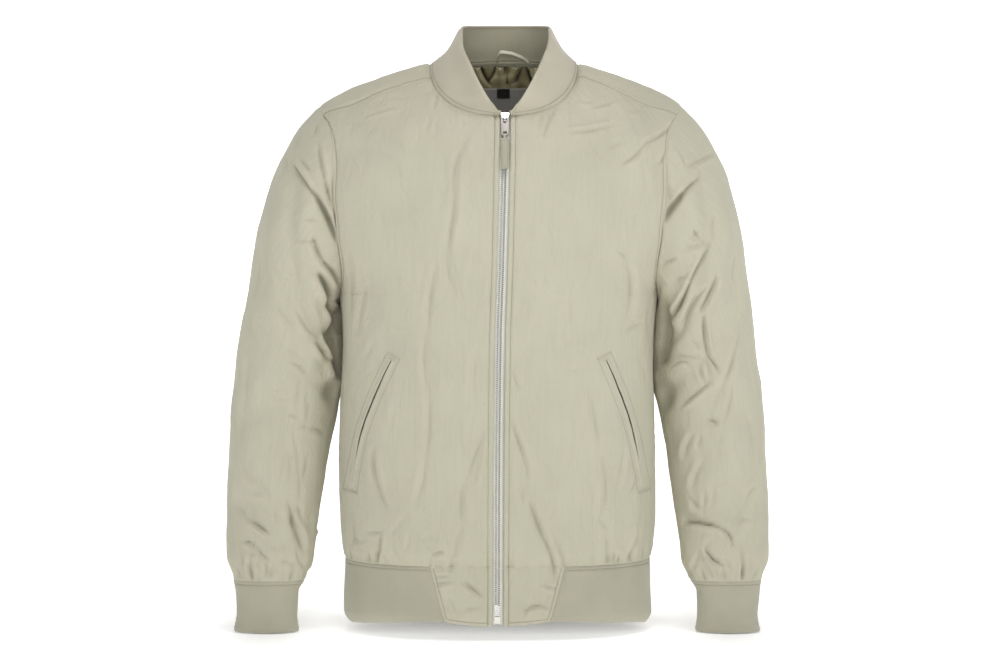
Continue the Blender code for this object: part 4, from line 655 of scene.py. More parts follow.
def stitched(name, lines, look, pitch=3.0, long=2.2, radius=0.4, body_name="jacket"):
    """Rows of stitches as one mesh. Each line of places and outward normals is walked a pitch at a time, and
    every stitch is a spindle along it: two rings of five points between two tips, half sunk in the cloth."""
    count, shoulder = 5, 0.32  # points to a ring, and how far along the stitch from its middle the rings are
    k = np.arange(count)
    ends = np.array([[-0.5, 0, 0], [0.5, 0, 0]])
    rings = [[at, np.cos(a), np.sin(a)] for at in (-shoulder, shoulder) for a in k * 2 * np.pi / count]
    shape = np.concatenate([ends, rings])
    first, next_first = 2 + k, 2 + (k + 1) % count
    second, next_second = first + count, next_first + count
    tips = np.concatenate([np.stack([0 * k, next_first, first], -1), np.stack([0 * k + 1, second, next_second], -1)])
    sides = np.stack([first, next_first, next_second, second], -1)
    points = []
    for places, normals in lines:
        length = run_of(places)
        at = np.arange(pitch / 2, length[-1], pitch)
        here, ahead, behind, out = (
            np.stack([np.interp(at + step, length, c) for c in line.T], -1)
            for line, step in ((places, 0.0), (places, 0.5), (places, -0.5), (normals, 0.0))
        )
        out, along = unit(out), unit(ahead - behind)
        side = unit(np.cross(out, along))
        out = np.cross(along, side)
        axes = np.stack([along * long, side * radius, out * radius], -2)
        points.append((here[:, None] + shape @ axes).reshape(-1, 3))
    points = np.concatenate(points)
    starts = np.arange(len(points) // len(shape))[:, None, None] * len(shape)
    mesh = bpy.data.meshes.new(name)
    faces = [*(tips[None] + starts).reshape(-1, 3).tolist(), *(sides[None] + starts).reshape(-1, 4).tolist()]
    mesh.from_pydata((points * MM).tolist(), [], faces)
    mesh.shade_smooth()
    add_piece(name, mesh, look, body_name)


def sewn(surface, u, v):
    """A line for stitches on a surface: its places, a little over it, and normals at those parameters."""
    normal = outward(surface, u, v)
    return surface(u, v) + normal * STITCH_LIFT, normal


def front_edge_turn(level, side):
    """How far round a front's edge beside the zip lies: where the plain form's x reaches the edge's."""
    z_at, right, left = columns(ZIP_EDGE_ROWS)
    z = body(level, np.zeros_like(level))[..., 2]
    off = np.interp(z, z_at, left if side > 0 else -right)
    return turn_at(level, off)


def front_grid(levels, outer, side, shares):
    """Places on a front: each row's turns run from the edge beside the zip to the outer edge, by their shares."""
    start = front_edge_turn(levels, side)
    turns = start[:, None] + shares[None, :] * (outer - start)[:, None]
    return np.stack([np.broadcast_to(levels[:, None], turns.shape), side * turns])


def stretch_grids(stretches, face, relief, middle):
    """The grids of a panel's stretches of levels and turns. Their UV runs on from one to the next, up a column that
    is given as a share of the way round."""
    grids, foot = [], 0.0
    for level, turn in stretches:
        column = min(int(middle * turn.shape[1]), turn.shape[1] - 1)
        uv = arc_uv(body(level, turn), column)
        uv[..., 1] += foot
        foot = float(uv[-1, column, 1])
        grids.append((face(level, turn), uv, relief(level, turn) - uneven(body(level, turn))))
    return grids


def make_front(name, side, look):
    """A front from four stretches: its slanted end, its side, the stretch along the armhole and the shoulder."""
    first = float(front_edge_turn(np.array([HEM]), side)[0])
    corner = (float(turn_at(HEM, END_TOP)) - first) / (np.pi / 2 - first)
    near = rimmed(END_LONG, FRONT_STEP, EDGE_RIM) * corner
    far = corner + rimmed(SIDE_LONG, FRONT_STEP, EDGE_RIM) * (1 - corner)
    shares = np.concatenate([near, far[1:]])
    band = evenly(body, END_TURN, 0.0, HEM, FRONT_STEP, EDGE_RIM)
    low = evenly(body, SIDE_TURN, HEM, UNDERARM, FRONT_STEP)
    rises = armhole_rises(ARM_FRONT)
    yoke = evenly(body, YOKE_TURN, TIP, NECK, FRONT_STEP)
    rows = (
        (band, slant_turn(band), near / corner),
        (low, np.full(len(low), np.pi / 2), shares),
        (armhole_level(rises), armhole_turn(rises, ARM_FRONT), shares),
        (yoke, seam_turn(yoke), shares),
    )
    stretches = [front_grid(levels, outer, side, share)[:, :, ::side] for levels, outer, share in rows]
    grids = stretch_grids(stretches, front_face, front_relief, 0 if side > 0 else 1)
    piece = cloth_piece(f"{name}_cloth", grids, look, name)
    walled(piece, CLOTH_THICK)


sage_twill = twill("peached cotton twill, sage", "#C1BEA9", "#B8B5A1", "#C6BEAB")
sage_thread = thread_look("spun polyester thread, sage", "#807C69", "#95917D")
make_front("front_left", 1, sage_twill)
make_front("front_right", -1, sage_twill)


def seam_line(levels, edge, side, inside):
    """A line of stitches on a front, a distance in from an edge given as a turn at each level."""
    per_turn = speeds(body, levels, side * edge)[1]
    return sewn(front_face, levels, side * (edge - inside / per_turn))


front_lines = []
foot_level = 0.08
for side in (1, -1):
    levels = np.linspace(0.03, NECK - 0.05, 700)
    front_lines.append(seam_line(levels, front_edge_turn(levels, side), side, -ZIP_STITCH))
    levels = np.linspace(0.07, 0.97, 90)
    front_lines.append(seam_line(levels, slant_turn(levels), side, END_STITCH))
    first = front_edge_turn(np.array([foot_level]), side)[0] + 0.02
    edge = np.linspace(first, slant_turn(levels[0]) - 0.025, 90)
    front_lines.append(sewn(front_face, np.full(90, foot_level), side * edge))
    rises = armhole_rises(ARM_FRONT)[1:-1]
    front_lines.append(seam_line(armhole_level(rises), armhole_turn(rises, ARM_FRONT), side, ARM_STITCH))
    levels = np.linspace(TIP, NECK, 160)
    front_lines.append(seam_line(levels, seam_turn(levels), side, TIP_STITCH))
stitched("front_topstitching", front_lines, sage_thread)

# ------------------------------------------------------------------------------------------------------------
# Back: one piece of the same twill, side seam to side seam, that comes over both shoulders to the forward seams.
# It hangs in soft folds from the shoulder blades and is gathered into the hem band.
# ------------------------------------------------------------------------------------------------------------
BACK_CREASES = (  # as the fronts'
    (-150, -66, -96, -88, 6, 5, 1.6, 0.5), (150, -60, 104, -92, -5, 5, 1.6, 0.5),
    (-186, -120, -128, -176, 9, 7, 3.2, 0.6), (190, -112, 138, -168, -8, 7, 3.0, 0.6),
    (-182, -160, -118, -232, 8, 7, 3.4, 0.6), (186, -168, 124, -226, -7, 6, 3.0, 0.6),
    (-176, -214, -112, -262, 5, 5, 2.2, 0.5), (180, -206, 120, -270, -6, 6, 2.6, 0.5),
    (-170, -262, -98, -300, 6, 6, 2.6, 0.5), (172, -250, 96, -304, -7, 6, 2.4, 0.5),
    (-60, -40, -66, -88, 3, 3, 1.2, 0.4), (64, -42, 60, -94, -3, 3, 1.2, 0.4),
    (-30, -22, -34, -62, 2, 3, 0.9, 0.4), (26, -24, 32, -58, -2, 3, 0.9, 0.4),
    (-86, -130, -78, -250, 8, 9, 1.5, 0.4), (92, -140, 80, -262, -9, 9, 1.6, 0.4),
    (-20, -110, -10, -240, 5, 10, 1.1, 0.4), (34, -180, 40, -330, -6, 10, 1.2, 0.4),
    (-120, -300, -112, -430, 10, 8, 1.8, 0.5), (128, -310, 116, -452, -10, 8, 1.9, 0.5),
    (-64, -300, -72, -470, -8, 9, 1.6, 0.4), (66, -322, 76, -490, 8, 9, 1.5, 0.4),
    (-8, -330, 6, -500, 6, 9, 1.4, 0.4), (-146, -420, -132, -560, 9, 7, 2.2, 0.5),
    (150, -432, 138, -566, -9, 7, 2.1, 0.5), (-96, -470, -104, -590, -6, 6, 2.4, 0.6),
    (100, -480, 112, -592, 6, 6, 2.3, 0.6), (-46, -490, -40, -592, 5, 6, 2.2, 0.5),
    (40, -500, 34, -594, -5, 6, 2.1, 0.5), (4, -520, -6, -596, 3, 5, 1.9, 0.5),
    (-130, -520, -66, -546, -7, 5, 1.8, 0.5), (136, -530, 70, -556, 8, 5, 1.9, 0.5),
    (-52, -560, 8, -572, -5, 4, 1.6, 0.5), (14, -548, 66, -560, -5, 4, 1.5, 0.5),
)
NAPE_PUCKERS = (9.0, 0.35, 12.0)  # wave, depth and reach
BACK_STEP = 4.0
BACK_LONG, BACK_YOKE_LONG = 520.0, 70.0  # a row's length, near enough, and that of its part forward of an armhole


def back_gaps(level, turn):
    """How far a place on the back lies from its outer seam, the armhole's top edge, the neck and the hem seam."""
    up, round_it = speeds(body, level, turn)
    near = np.minimum(turn, 2 * np.pi - turn)
    over_cap = near < armhole_turn(1.0, ARM_BACK)
    to_cap = np.where(over_cap & (level >= TIP), (level - TIP) * up, FAR)
    return (near - panel_edge(level, ARM_BACK)) * round_it, to_cap, (NECK - level) * up, (level - HEM) * up


def back_relief(level, turn):
    """What the sewing and wear add to the back's plain form."""
    place = body(level, turn)
    outer, cap, neck, hem = back_gaps(level, turn)
    relief = creased(place[..., 0], place[..., 2], BACK_CREASES) * (np.cos(turn) < 0) + uneven(place)
    relief += hem_relief(level, turn, place)
    relief += puckered(place[..., 0], neck, *NAPE_PUCKERS, 33)
    relief = met(relief + puckered(place[..., 2], outer, *SIDE_PUCKERS, 34), outer, cap, neck, hem)
    return relief + shoulder_lift(level, turn, neck)


def back_face(level, turn):
    """The back's outer face."""
    return body(level, turn) + outward(body, level, turn) * back_relief(level, turn)[..., None]


def make_back(look):
    """The back from three stretches: below the armholes, between them, and the yoke over both shoulders."""
    shares, over = rimmed(BACK_LONG, BACK_STEP), rimmed(BACK_YOKE_LONG, BACK_STEP)[:-1]
    low = evenly(body, np.pi * 0.8, HEM, UNDERARM, BACK_STEP)
    rises = armhole_rises(ARM_BACK)
    yoke = evenly(body, np.pi * 0.55, TIP, NECK, BACK_STEP)
    stretches = []
    for levels, first in (
        (low, np.full(len(low), np.pi / 2)),
        (armhole_level(rises), armhole_turn(rises, ARM_BACK)),
        (yoke, seam_turn(yoke)),
    ):
        turn = first[:, None] + shares[None, :] * (2 * np.pi - 2 * first)[:, None]
        if levels is yoke:
            start = float(armhole_turn(1.0, ARM_BACK))
            front = first[:, None] + over[None, :] * (start - first)[:, None]
            middle = np.broadcast_to(start + shares * (2 * np.pi - 2 * start), (len(levels), len(shares)))
            turn = np.concatenate([front, middle, (2 * np.pi - front)[:, ::-1]], 1)
        stretches.append((np.broadcast_to(levels[:, None], turn.shape), turn))
    grids = stretch_grids(stretches, back_face, back_relief, 0.5)
    piece = cloth_piece("back_cloth", grids, look, "back")
    walled(piece, CLOTH_THICK)


make_back(sage_twill)

# ------------------------------------------------------------------------------------------------------------
# Sleeves: two set-in sleeves of the twill, eased into the armholes and gathered into their cuffs.
# They bend a little forward, so the cloth breaks into drag lines under the arm and crushes over the cuff.
# ------------------------------------------------------------------------------------------------------------
SLEEVE_ROWS = (  # along it, x and z of its outer side and its inner side, y of its front and its back
    (0, 226, -53, 197.5, -288, -77, 76),
    (30, 251, -80, 203.0, -298, -77, 80),
    (70, 269, -110, 204.5, -309, -76, 82),
    (120, 286, -150, 203.5, -326, -74, 83),
    (180, 299, -201, 200.5, -346, -68, 81),
    (240, 308, -254, 198.5, -368, -60, 76),
    (300, 317, -308, 198.5, -392, -53, 69),
    (350, 324, -356, 200.0, -419, -47, 62),
    (400, 329, -404, 204.5, -448, -44, 54),
    (450, 332.5, -452, 210.5, -482, -45, 45),
    (500, 334.5, -500, 216.5, -518, -48, 36),
    (545, 336, -546, 222.0, -555, -53, 27),
    (585, 335, -586, 226.5, -590, -58, 18),
    (612, 332.5, -613, 229.5, -614, -61, 8),
    (640, 325, -640, 238.0, -640, -60, -9),
)
CUFF_SEAM, CAP_LONG = 640.0, 170.0  # both from the armhole down the sleeve
TOP_TURN = 10.0  # degrees on either side of the sleeve's top that meet the shoulder's tip
FOLDS_FROM, SLEEVE_RADIUS = 60.0, 62.0  # the sleeve's folds fade in over this length; its tube is unrolled at this
SLEEVE_FOLDS = (  # along it and round it in degrees at both ends, width and depth
    (70, 50, 230, 125, 16, 5.0), (150, 45, 260, 70, 18, -3.0), (300, 70, 350, 150, 18, 4.0),
    (360, 110, 420, 60, 18, 4.0), (470, 60, 520, 130, 20, -3.5), (545, 40, 560, 150, 14, 5.0),
    (110, 300, 240, 235, 18, 5.0), (320, 290, 370, 215, 20, 5.0), (440, 215, 500, 290, 20, 4.0),
    (550, 215, 560, 320, 14, 5.0),
)
CUFF_GATHERS = (  # turn round the sleeve in degrees, width, depth and length
    (8, 7.0, 3.2, 30), (40, 6.0, 3.6, 34), (66, 5.0, 3.4, 26), (96, 6.5, 3.8, 36), (130, 6.5, 3.0, 26),
    (164, 7.0, 3.2, 30), (196, 6.0, 3.4, 28), (228, 7.0, 3.6, 34), (262, 6.0, 3.2, 28), (296, 6.5, 3.6, 34),
    (330, 6.0, 3.0, 26),
)
SLEEVE_CREASES = {  # as the fronts'; each sleeve's back breaks much as the other one's front does
    1: (
        (226, -136, 266, -113, 0.1, 2.2, 1.8, 0.6), (248, -144, 213, -180, 3.3, 4.1, 3.2, 0.7),
        (223, -165, 198, -203, 2.1, 5.5, 4.6, 0.6), (204, -158, 200, -192, -2, 4.1, 2.4, 0.4),
        (218, -113, 228, -138, 0.3, 3.1, 1.2, 0.4), (232, -209, 248, -229, -0.7, 2.6, 1.6, 0.5),
        (221, -233, 259, -226, 0.9, 2.6, 1.4, 0.5), (229, -225, 241, -211, 0.9, 5.3, 1.6, 0.3),
        (257, -225, 227, -286, 0.4, 3.6, 3.6, 0.6), (232, -277, 210, -318, -0.7, 3.8, 3.8, 0.6),
        (266, -263, 242, -313, -2.4, 3.6, 3.6, -0.6), (255, -277, 225, -338, 7.6, 3.8, 2, 0.5),
        (249, -312, 257, -369, 2.5, 3.1, 4.2, -0.6), (254, -363, 270, -385, 0, 2.9, 3.2, 0.6),
        (198, -250, 215, -246, 0.6, 2.9, 1.6, 0.5), (212, -272, 231, -267, -0, 2.4, 1.4, 0.5),
        (274, -279, 278, -301, -1.3, 4.1, 1, 0.4), (265, -189, 263, -228, 4.7, 3.8, 1.6, 0.4),
        (291, -234, 286, -279, 1, 4.8, 1.5, -0.5), (216, -363, 248, -368, 0.1, 2.4, 1.8, 0.5),
        (232, -343, 249, -362, -0.8, 2.4, 1.6, 0.5), (242, -377, 253, -400, 0.4, 3.1, 1.8, 0.5),
        (253, -372, 257, -396, -0.5, 3.1, 1.6, 0.4), (220, -429, 263, -393, 0.5, 3.1, 2.6, 0.6),
        (212, -377, 236, -384, -9, 3.1, 1.6, 0.5), (287, -397, 274, -455, -2.2, 3.6, 1.6, 0.5),
        (299, -330, 276, -396, -0.9, 4.8, 1.4, 0.5), (290, -360, 257, -433, -2.6, 4.8, 1.4, 0.5),
        (254, -443, 269, -450, -2.1, 2.6, 3.2, 0.6), (267, -453, 267, -487, -2.6, 3.4, 1.4, 0.4),
        (262, -465, 266, -490, 0.7, 2.9, 1.2, 0.4), (247, -463, 244, -480, 0.7, 3.4, 1.8, 0.4),
        (239, -458, 227, -496, 2.6, 4.3, 2, 0.8), (251, -490, 234, -532, 1.7, 4.1, 1.6, 0.8),
        (296, -441, 298, -468, 0, 3.4, 1, 0.4), (292, -478, 299, -497, 0.4, 3.4, 1, 0.4),
        (256, -514, 281, -516, 5.3, 3.8, 1.2, 0.4), (250, -529, 248, -559, -2.4, 3.6, 1.8, 0.5),
        (261, -524, 255, -556, -2.9, 3.1, 1.3, 0.4), (234, -542, 248, -554, 0.9, 4.8, 2.2, 0.4),
        (317, -523, 302, -544, 2.9, 3.6, 1.8, 0.5), (226, -571, 272, -575, -2.9, 3.6, 5, 0.7),
        (266, -573, 285, -600, -5.5, 3.4, 3.4, 0.5), (282, -564, 312, -566, -0.4, 3.1, 1.8, 0.5),
        (284, -569, 299, -574, -1.1, 2.6, 1.4, 0.4), (249, -598, 276, -620, 4.8, 2.9, 4.4, 0.7),
        (248, -619, 262, -635, -0.9, 2.6, 2, 0.5), (272, -611, 282, -631, -1.9, 2.9, 1.8, 0.4),
        (295, -602, 295, -638, -1.2, 2.3, 3.4, 0.5), (244, -606, 236, -630, -0.1, 3.1, 2, 0.5),
        (261, -586, 247, -600, -1.6, 3.6, 1.4, 0.4), (294, -589, 282, -597, -2.7, 3.6, 1, 0.4),
        (259, -620, 266, -637, -1.7, 2.2, 1.6, 0.4), (303, -609, 306, -635, -1.4, 2.6, 1.4, 0.4),
        (313, -296, 321, -395, -2.8, 6, 1.2, -0.4), (302, -419, 316, -505, -0.8, 6, 1.2, -0.4),
    ),
    -1: (
        (-225, -79, -230, -95, -0.3, 2.2, 2, 0.4), (-255, -126, -225, -169, 0.2, 2.9, 3.4, -0.7),
        (-229, -161, -197, -229, -3.6, 5, 5.5, -0.6), (-222, -102, -211, -158, 0.9, 3.4, 2.2, -0.6),
        (-212, -151, -200, -196, 0.8, 4.1, 3.2, -0.6), (-245, -123, -228, -143, 0.7, 2.4, 1.6, 0.5),
        (-255, -88, -253, -113, -3.2, 2.9, 1.4, 0.4), (-264, -117, -259, -141, 0.9, 3.6, 1.5, 0.4),
        (-239, -197, -219, -202, 0.3, 2.2, 1.2, 0.5), (-251, -224, -223, -225, 0.2, 2.2, 1.2, 0.5),
        (-228, -216, -211, -255, 3, 5, 2.6, 0.5), (-216, -250, -196, -278, -2.5, 4.8, 3.4, 0.6),
        (-221, -263, -206, -300, -1.1, 4.8, 5, 0.7), (-210, -297, -204, -339, -0.4, 4.3, 4.6, 0.6),
        (-248, -306, -229, -338, 2.6, 3.8, 1.8, 0.5), (-226, -346, -210, -370, 0.5, 4.3, 3.6, 0.6),
        (-215, -336, -202, -378, -1.7, 4.3, 4.2, 0.6), (-210, -367, -202, -395, -2.2, 4.8, 4, 0.5),
        (-280, -298, -249, -335, -0.4, 4.8, 1.5, 0.5), (-301, -318, -282, -338, 0.5, 4.8, 1, 0.4),
        (-279, -251, -260, -272, 3.4, 4.1, 1, 0.4), (-261, -264, -245, -263, 0.6, 3.1, 0.9, 0.4),
        (-267, -287, -256, -303, -0.6, 3.6, 0.9, 0.4), (-251, -294, -237, -294, 1.3, 2.9, 0.9, 0.4),
        (-262, -352, -242, -372, 1.4, 4.1, 1.4, 0.5), (-259, -371, -238, -387, -1.9, 3.1, 1.7, 0.5),
        (-245, -392, -249, -431, 1.6, 3.6, 1.4, 0.4), (-267, -372, -266, -399, 0.9, 3.6, 0.9, 0.4),
        (-280, -406, -261, -403, 0.5, 2.9, 1.2, 0.5), (-281, -418, -256, -416, 0.2, 3.1, 0.9, 0.4),
        (-239, -413, -238, -444, -2.1, 3.4, 1.1, 0.4), (-262, -434, -245, -441, 0.9, 2.9, 1.4, 0.5),
        (-247, -452, -235, -450, 0.9, 4.1, 1.6, 0.4), (-233, -454, -217, -464, -2.3, 4.8, 2, 0.5),
        (-254, -458, -247, -512, -1.7, 2.6, 1.1, 0.4), (-259, -473, -260, -524, -1.9, 2.6, 1, 0.4),
        (-266, -482, -270, -526, -2, 2.9, 1, 0.4), (-247, -505, -246, -544, -0.8, 2.6, 1, 0.4),
        (-238, -487, -242, -517, -1.1, 3.4, 1.5, 0.5), (-274, -541, -277, -572, 0.4, 3.1, 1.2, 0.4),
        (-262, -539, -254, -576, -0.7, 4.1, 2.4, 0.5), (-257, -559, -239, -607, 0.9, 4.8, 4, -0.7),
        (-250, -543, -243, -574, 0.4, 3.8, 2.4, -0.5), (-323, -549, -308, -566, 0.6, 3.1, 1.8, 0.5),
        (-310, -564, -281, -583, -0.9, 3.1, 4, 0.7), (-317, -591, -296, -600, -2.7, 2.9, 2.6, 0.6),
        (-298, -598, -281, -614, 1.4, 2.9, 3, 0.6), (-311, -607, -297, -607, -0.8, 2.4, 1.5, 0.5),
        (-305, -608, -307, -635, -0.3, 1.8, 2.4, 0.5), (-286, -611, -286, -634, -0.8, 1.8, 2.2, 0.5),
        (-299, -613, -289, -629, -0.3, 2.4, 1.5, 0.4), (-270, -617, -248, -622, -2.1, 2.6, 2.2, 0.6),
        (-249, -605, -239, -627, 1.6, 2.9, 2.4, 0.5), (-281, -595, -261, -596, 2.2, 4.8, 1.5, 0.4),
        (-319, -497, -299, -519, 2.7, 4.3, 1.4, 0.5), (-309, -531, -287, -530, 2.2, 4.3, 1.2, 0.5),
        (-292, -522, -281, -544, -0.6, 3.6, 1.3, 0.4), (-320, -597, -313, -626, 0.1, 3.6, 1.4, 0.4),
        (-293, -234, -304, -308, 0.3, 7.2, 1.4, 0.4), (-309, -357, -317, -456, 0.9, 7.2, 1.2, 0.4),
    ),
}
SLEEVE_STEP = 3.1
HOLLOW_ROWS = (  # along the sleeve: how far it falls in under the arm, in front
    (0, 0), (30, 1), (80, 6), (130, 9), (260, 9), (330, 5), (400, 1.5), (470, 0), (640, 0),
)
HOLLOW_AT, INNER_AT = (150, 20), (194, 44)  # the turn in degrees at which both lie, and how wide they are
SLEEVE_DEPTH, SLEEVE_BACK_DEPTH = 1.5, 1.3  # how much deeper than their rows say its creases are worn
BEND_DEPTH, BEND_X, BEND_WIDE, BEND_FOOT = 0.65, 208.0, 26.0, -430  # how much more beside the body, and where
BACK_DROP = 7.0  # how much lower the creases at the back lie
CUFF_ROLL = (1.8, 22.0, 14.0)  # the cloth's roll over the cuff: its height, how far from the seam, and its width
CAP_PUCKERS, CUFF_PUCKERS = (10.0, 0.55, 14.0), (7.0, 1.2, 8.0)  # wave, depth and reach
CAP_RADIUS, CUFF_RADIUS, CAP_WIDE = 62.0, 38.0, 70  # its radius at both seams, and the puckered turn in degrees
INNER_ROWS = (  # along the sleeve: how far its inner side leans out against the body's
    (0, 0), (30, 4.5), (70, 9.5), (120, 10), (180, 8), (240, 7), (290, 6.2), (325, 3.4), (360, 0), (640, 0),
)


def tube(rows, along, turn):
    """Elliptic rings: middle + (outer - inner) / 2 cos(turn), less half the depth in y times sin(turn)."""
    table = columns(rows)
    _, outer_x, outer_z, inner_x, inner_z, y_front, y_back = (eased(along, table[0], c) for c in table)
    zero = 0 * outer_x
    outer, inner = np.stack([outer_x, zero, outer_z], -1), np.stack([inner_x, zero, inner_z], -1)
    middle = (outer + inner) / 2
    middle[..., 1] = (y_front + y_back) / 2
    depth = np.stack([zero, (y_back - y_front) / 2, zero], -1)
    return middle + (outer - inner) / 2 * np.cos(turn)[..., None] - depth * np.sin(turn)[..., None], middle


def armhole_edge(turn):
    """The place on the body's armhole where a turn round the sleeve meets it, 0 at the top and 180 underneath."""
    degrees = np.degrees(turn) % 360
    front = degrees <= 180
    from_top = np.where(front, degrees, 360 - degrees)
    rise = (1 - np.cos(np.pi * np.clip((180 - from_top) / (180 - TOP_TURN), 0, 1))) / 2
    level = armhole_level(rise)
    along_edge = np.where(front, armhole_turn(rise, ARM_FRONT), armhole_turn(rise, ARM_BACK))
    top = np.where(front, float(armhole_turn(1.0, ARM_FRONT)), float(armhole_turn(1.0, ARM_BACK)))
    over = np.pi / 2 + (top - np.pi / 2) * from_top / TOP_TURN
    return body(level, np.where(from_top < TOP_TURN, over, along_edge))


def folded(along, turn):
    """The depth of the sleeve's largest folds, bells across lines in its unrolled tube."""
    scale = np.radians(SLEEVE_RADIUS)
    around = np.degrees(turn)
    depth = np.zeros(np.broadcast(along, turn).shape)
    for s0, t0, s1, t1, width, deep in SLEEVE_FOLDS:
        line = np.array([s1 - s0, (t1 - t0) * scale])
        rel = np.stack(np.broadcast_arrays(along - s0, (around - t0) * scale), -1)
        share = np.clip(rel @ line / (line @ line), 0, 1)
        depth += deep * trough(np.linalg.norm(rel - share[..., None] * line, axis=-1), width)
    return depth


def sleeve(along, turn):
    """A left sleeve's plain form, which keeps the armhole's shape near it and fades from it down the cap."""
    along, turn = np.broadcast_arrays(np.asarray(along, float), np.asarray(turn, float))
    points, middle = tube(SLEEVE_ROWS, along, turn)
    first, _ = tube(SLEEVE_ROWS, np.zeros_like(along), turn)
    edge = armhole_edge(turn) - settled(first)
    fade = np.clip(1 - along / CAP_LONG, 0, 1)[..., None]
    deep = folded(along, turn % (2 * np.pi)) * np.clip(along / FOLDS_FROM, 0, 1)
    out = points - middle
    points = points - unit(out) * deep[..., None]
    return settled(points) + edge * fade**2 * (3 - 2 * fade)


def mirrored(points):
    """A left sleeve's points as the right one's, about the leaning middle."""
    flipped = np.array(points)
    flipped[..., 0] = 2 * leans(points[..., 2])[0] - points[..., 0]
    return flipped


def sleeve_form(side):
    """The plain form of one sleeve, as a surface."""
    return sleeve if side > 0 else lambda along, turn: mirrored(sleeve(along, turn))


def sleeve_relief(side, along, turn):
    """What the sewing and wear add to a sleeve's plain form."""
    place = sleeve_form(side)(along, turn)
    degrees = np.degrees(turn) % 360
    front = np.clip(np.sin(turn) * 6 + 0.5, 0, 1)
    bend = trough(np.abs(place[..., 0]) - BEND_X, BEND_WIDE) * (place[..., 2] > BEND_FOOT)
    deeper = SLEEVE_DEPTH + BEND_DEPTH * bend
    relief = deeper * creased(place[..., 0], place[..., 2], SLEEVE_CREASES[side]) * front
    back = creased(-place[..., 0], place[..., 2] + BACK_DROP, SLEEVE_CREASES[-side])
    relief += SLEEVE_BACK_DEPTH * back * (1 - front)
    around, left = np.radians(degrees), CUFF_SEAM - along
    relief += gathered(around, CUFF_RADIUS, np.clip(left, 0, None), CUFF_GATHERS)
    inner_at, inner = columns(INNER_ROWS)
    relief += uneven(place) + eased(along, inner_at, inner) * trough(degrees - INNER_AT[0], INNER_AT[1])
    relief += CUFF_ROLL[0] * trough(left - CUFF_ROLL[1], CUFF_ROLL[2])
    cap = trough(np.minimum(degrees, 360 - degrees), CAP_WIDE)
    relief += puckered(around * CAP_RADIUS, along, *CAP_PUCKERS, 47 + side) * cap
    relief += puckered(around * CUFF_RADIUS, left, *CUFF_PUCKERS, 49 + side)
    hollow_at, hollow = columns(HOLLOW_ROWS)
    broken = 0.65 + 0.35 * rolling(place, 46.0, 48 + side, (1, 1, 0.7))
    relief -= eased(along, hollow_at, hollow) * trough(degrees - HOLLOW_AT[0], HOLLOW_AT[1]) * broken
    return met(relief, along, left)


def sleeve_face(side):
    """One sleeve's outer face, as a surface. The right one's normal is turned, as mirroring turns it inwards."""
    form = sleeve_form(side)

    def face(along, turn):
        """Places on the face."""
        normal = outward(form, along, turn) * side
        return form(along, turn) + normal * sleeve_relief(side, along, turn)[..., None]

    return face


def sleeve_columns():
    """Turns round a sleeve that meet the fronts' and back's own rows of points along the armhole."""
    front = 180 - (180 - TOP_TURN) * np.arccos(1 - 2 * armhole_rises(ARM_FRONT)) / np.pi
    back = 180 + (180 - TOP_TURN) * np.arccos(1 - 2 * armhole_rises(ARM_BACK)) / np.pi
    cap = np.linspace(0, TOP_TURN, 6)
    return np.radians(np.concatenate([cap[:-1], front[::-1], back[1:], 360 - cap[-2::-1]]))


def make_sleeve(name, side, look):
    """A sleeve from its armhole down to its cuff's seam."""
    along = rimmed(CUFF_SEAM, SLEEVE_STEP) * CUFF_SEAM
    along, turn = np.meshgrid(along, sleeve_columns(), indexing="ij")
    plain = sleeve_form(side)(along, turn)
    uv = arc_uv(plain, turn.shape[1] // 2)
    uv[..., 1] *= -1
    grids = [(sleeve_face(side)(along, turn), uv, sleeve_relief(side, along, turn) - uneven(plain))]
    piece = cloth_piece(f"{name}_cloth", grids, look, name, flip=side < 0)
    walled(piece, CLOTH_THICK)


make_sleeve("sleeve_left", 1, sage_twill)
make_sleeve("sleeve_right", -1, sage_twill)

# ------------------------------------------------------------------------------------------------------------
# Collar, hem band and cuffs: 1x1 rib knit of cotton with elastane, doubled over, so their free edges are folds.
# The knit is stretched as it is sewn on, which draws the twill into gathers. It is darker than the twill.
# ------------------------------------------------------------------------------------------------------------
RIB_THICK, RIB_PITCH, RIB_STEP = 2.6, 1.6, 3.4  # the step is between its rows and columns of points
BAND_STITCH, COLLAR_STITCH, CUFF_STITCH = 4.3, 5.4, 4.8  # how far from its seam each rib's line of stitches runs
SEW_PUFF = 0.4  # how much the knit puffs between its seam and its stitches
SEW_DIP, HEM_DIP = (0.7, 1.2), (1.2, 2.5)  # how deep and how wide the knit dips at its stitches, and at its fold
COLLAR_ROWS = (  # as the body's, with the share of its height first
    (0.0, 0, -75, 10, 92.0, -98, 78, 2.7, 1.25, 1.5),
    (0.4, 17, -69, 29, 70.5, -101, 70, 2.5, 2.0, 1.3),
    (1.0, 44, -64, 57, 55.5, -104, 62, 2.3, 2.7, 0.6),
)
COLLAR_RIM = (  # x and z of the rim's front half, which falls in a V to the zip
    (0, -73.5), (9.6, -72.4), (16.2, -61.5), (24.6, -46.9), (33.1, -32), (41, -16.5), (47.9, -0.2), (52.8, 17.2),
    (55.5, 44),
)
RIM_POWER = 0.62  # how square the rim is seen from above
CUFF_LONG, CUFF_POINTS = 63.0, 70
COLLAR_HIGH, COLLAR_LONG, BAND_LONG = 60.0, 420.0, 850.0  # near enough to space their rows of points
CUFF_ROWS = (  # as the sleeve's
    (640, 325, -640, 238.0, -640, -60, -9),
    (654, 321.5, -654, 246.5, -654, -58, -12),
    (682, 320, -682, 247.5, -682, -57, -12),
    (703, 323.5, -703, 245.0, -703, -59, -10),
)


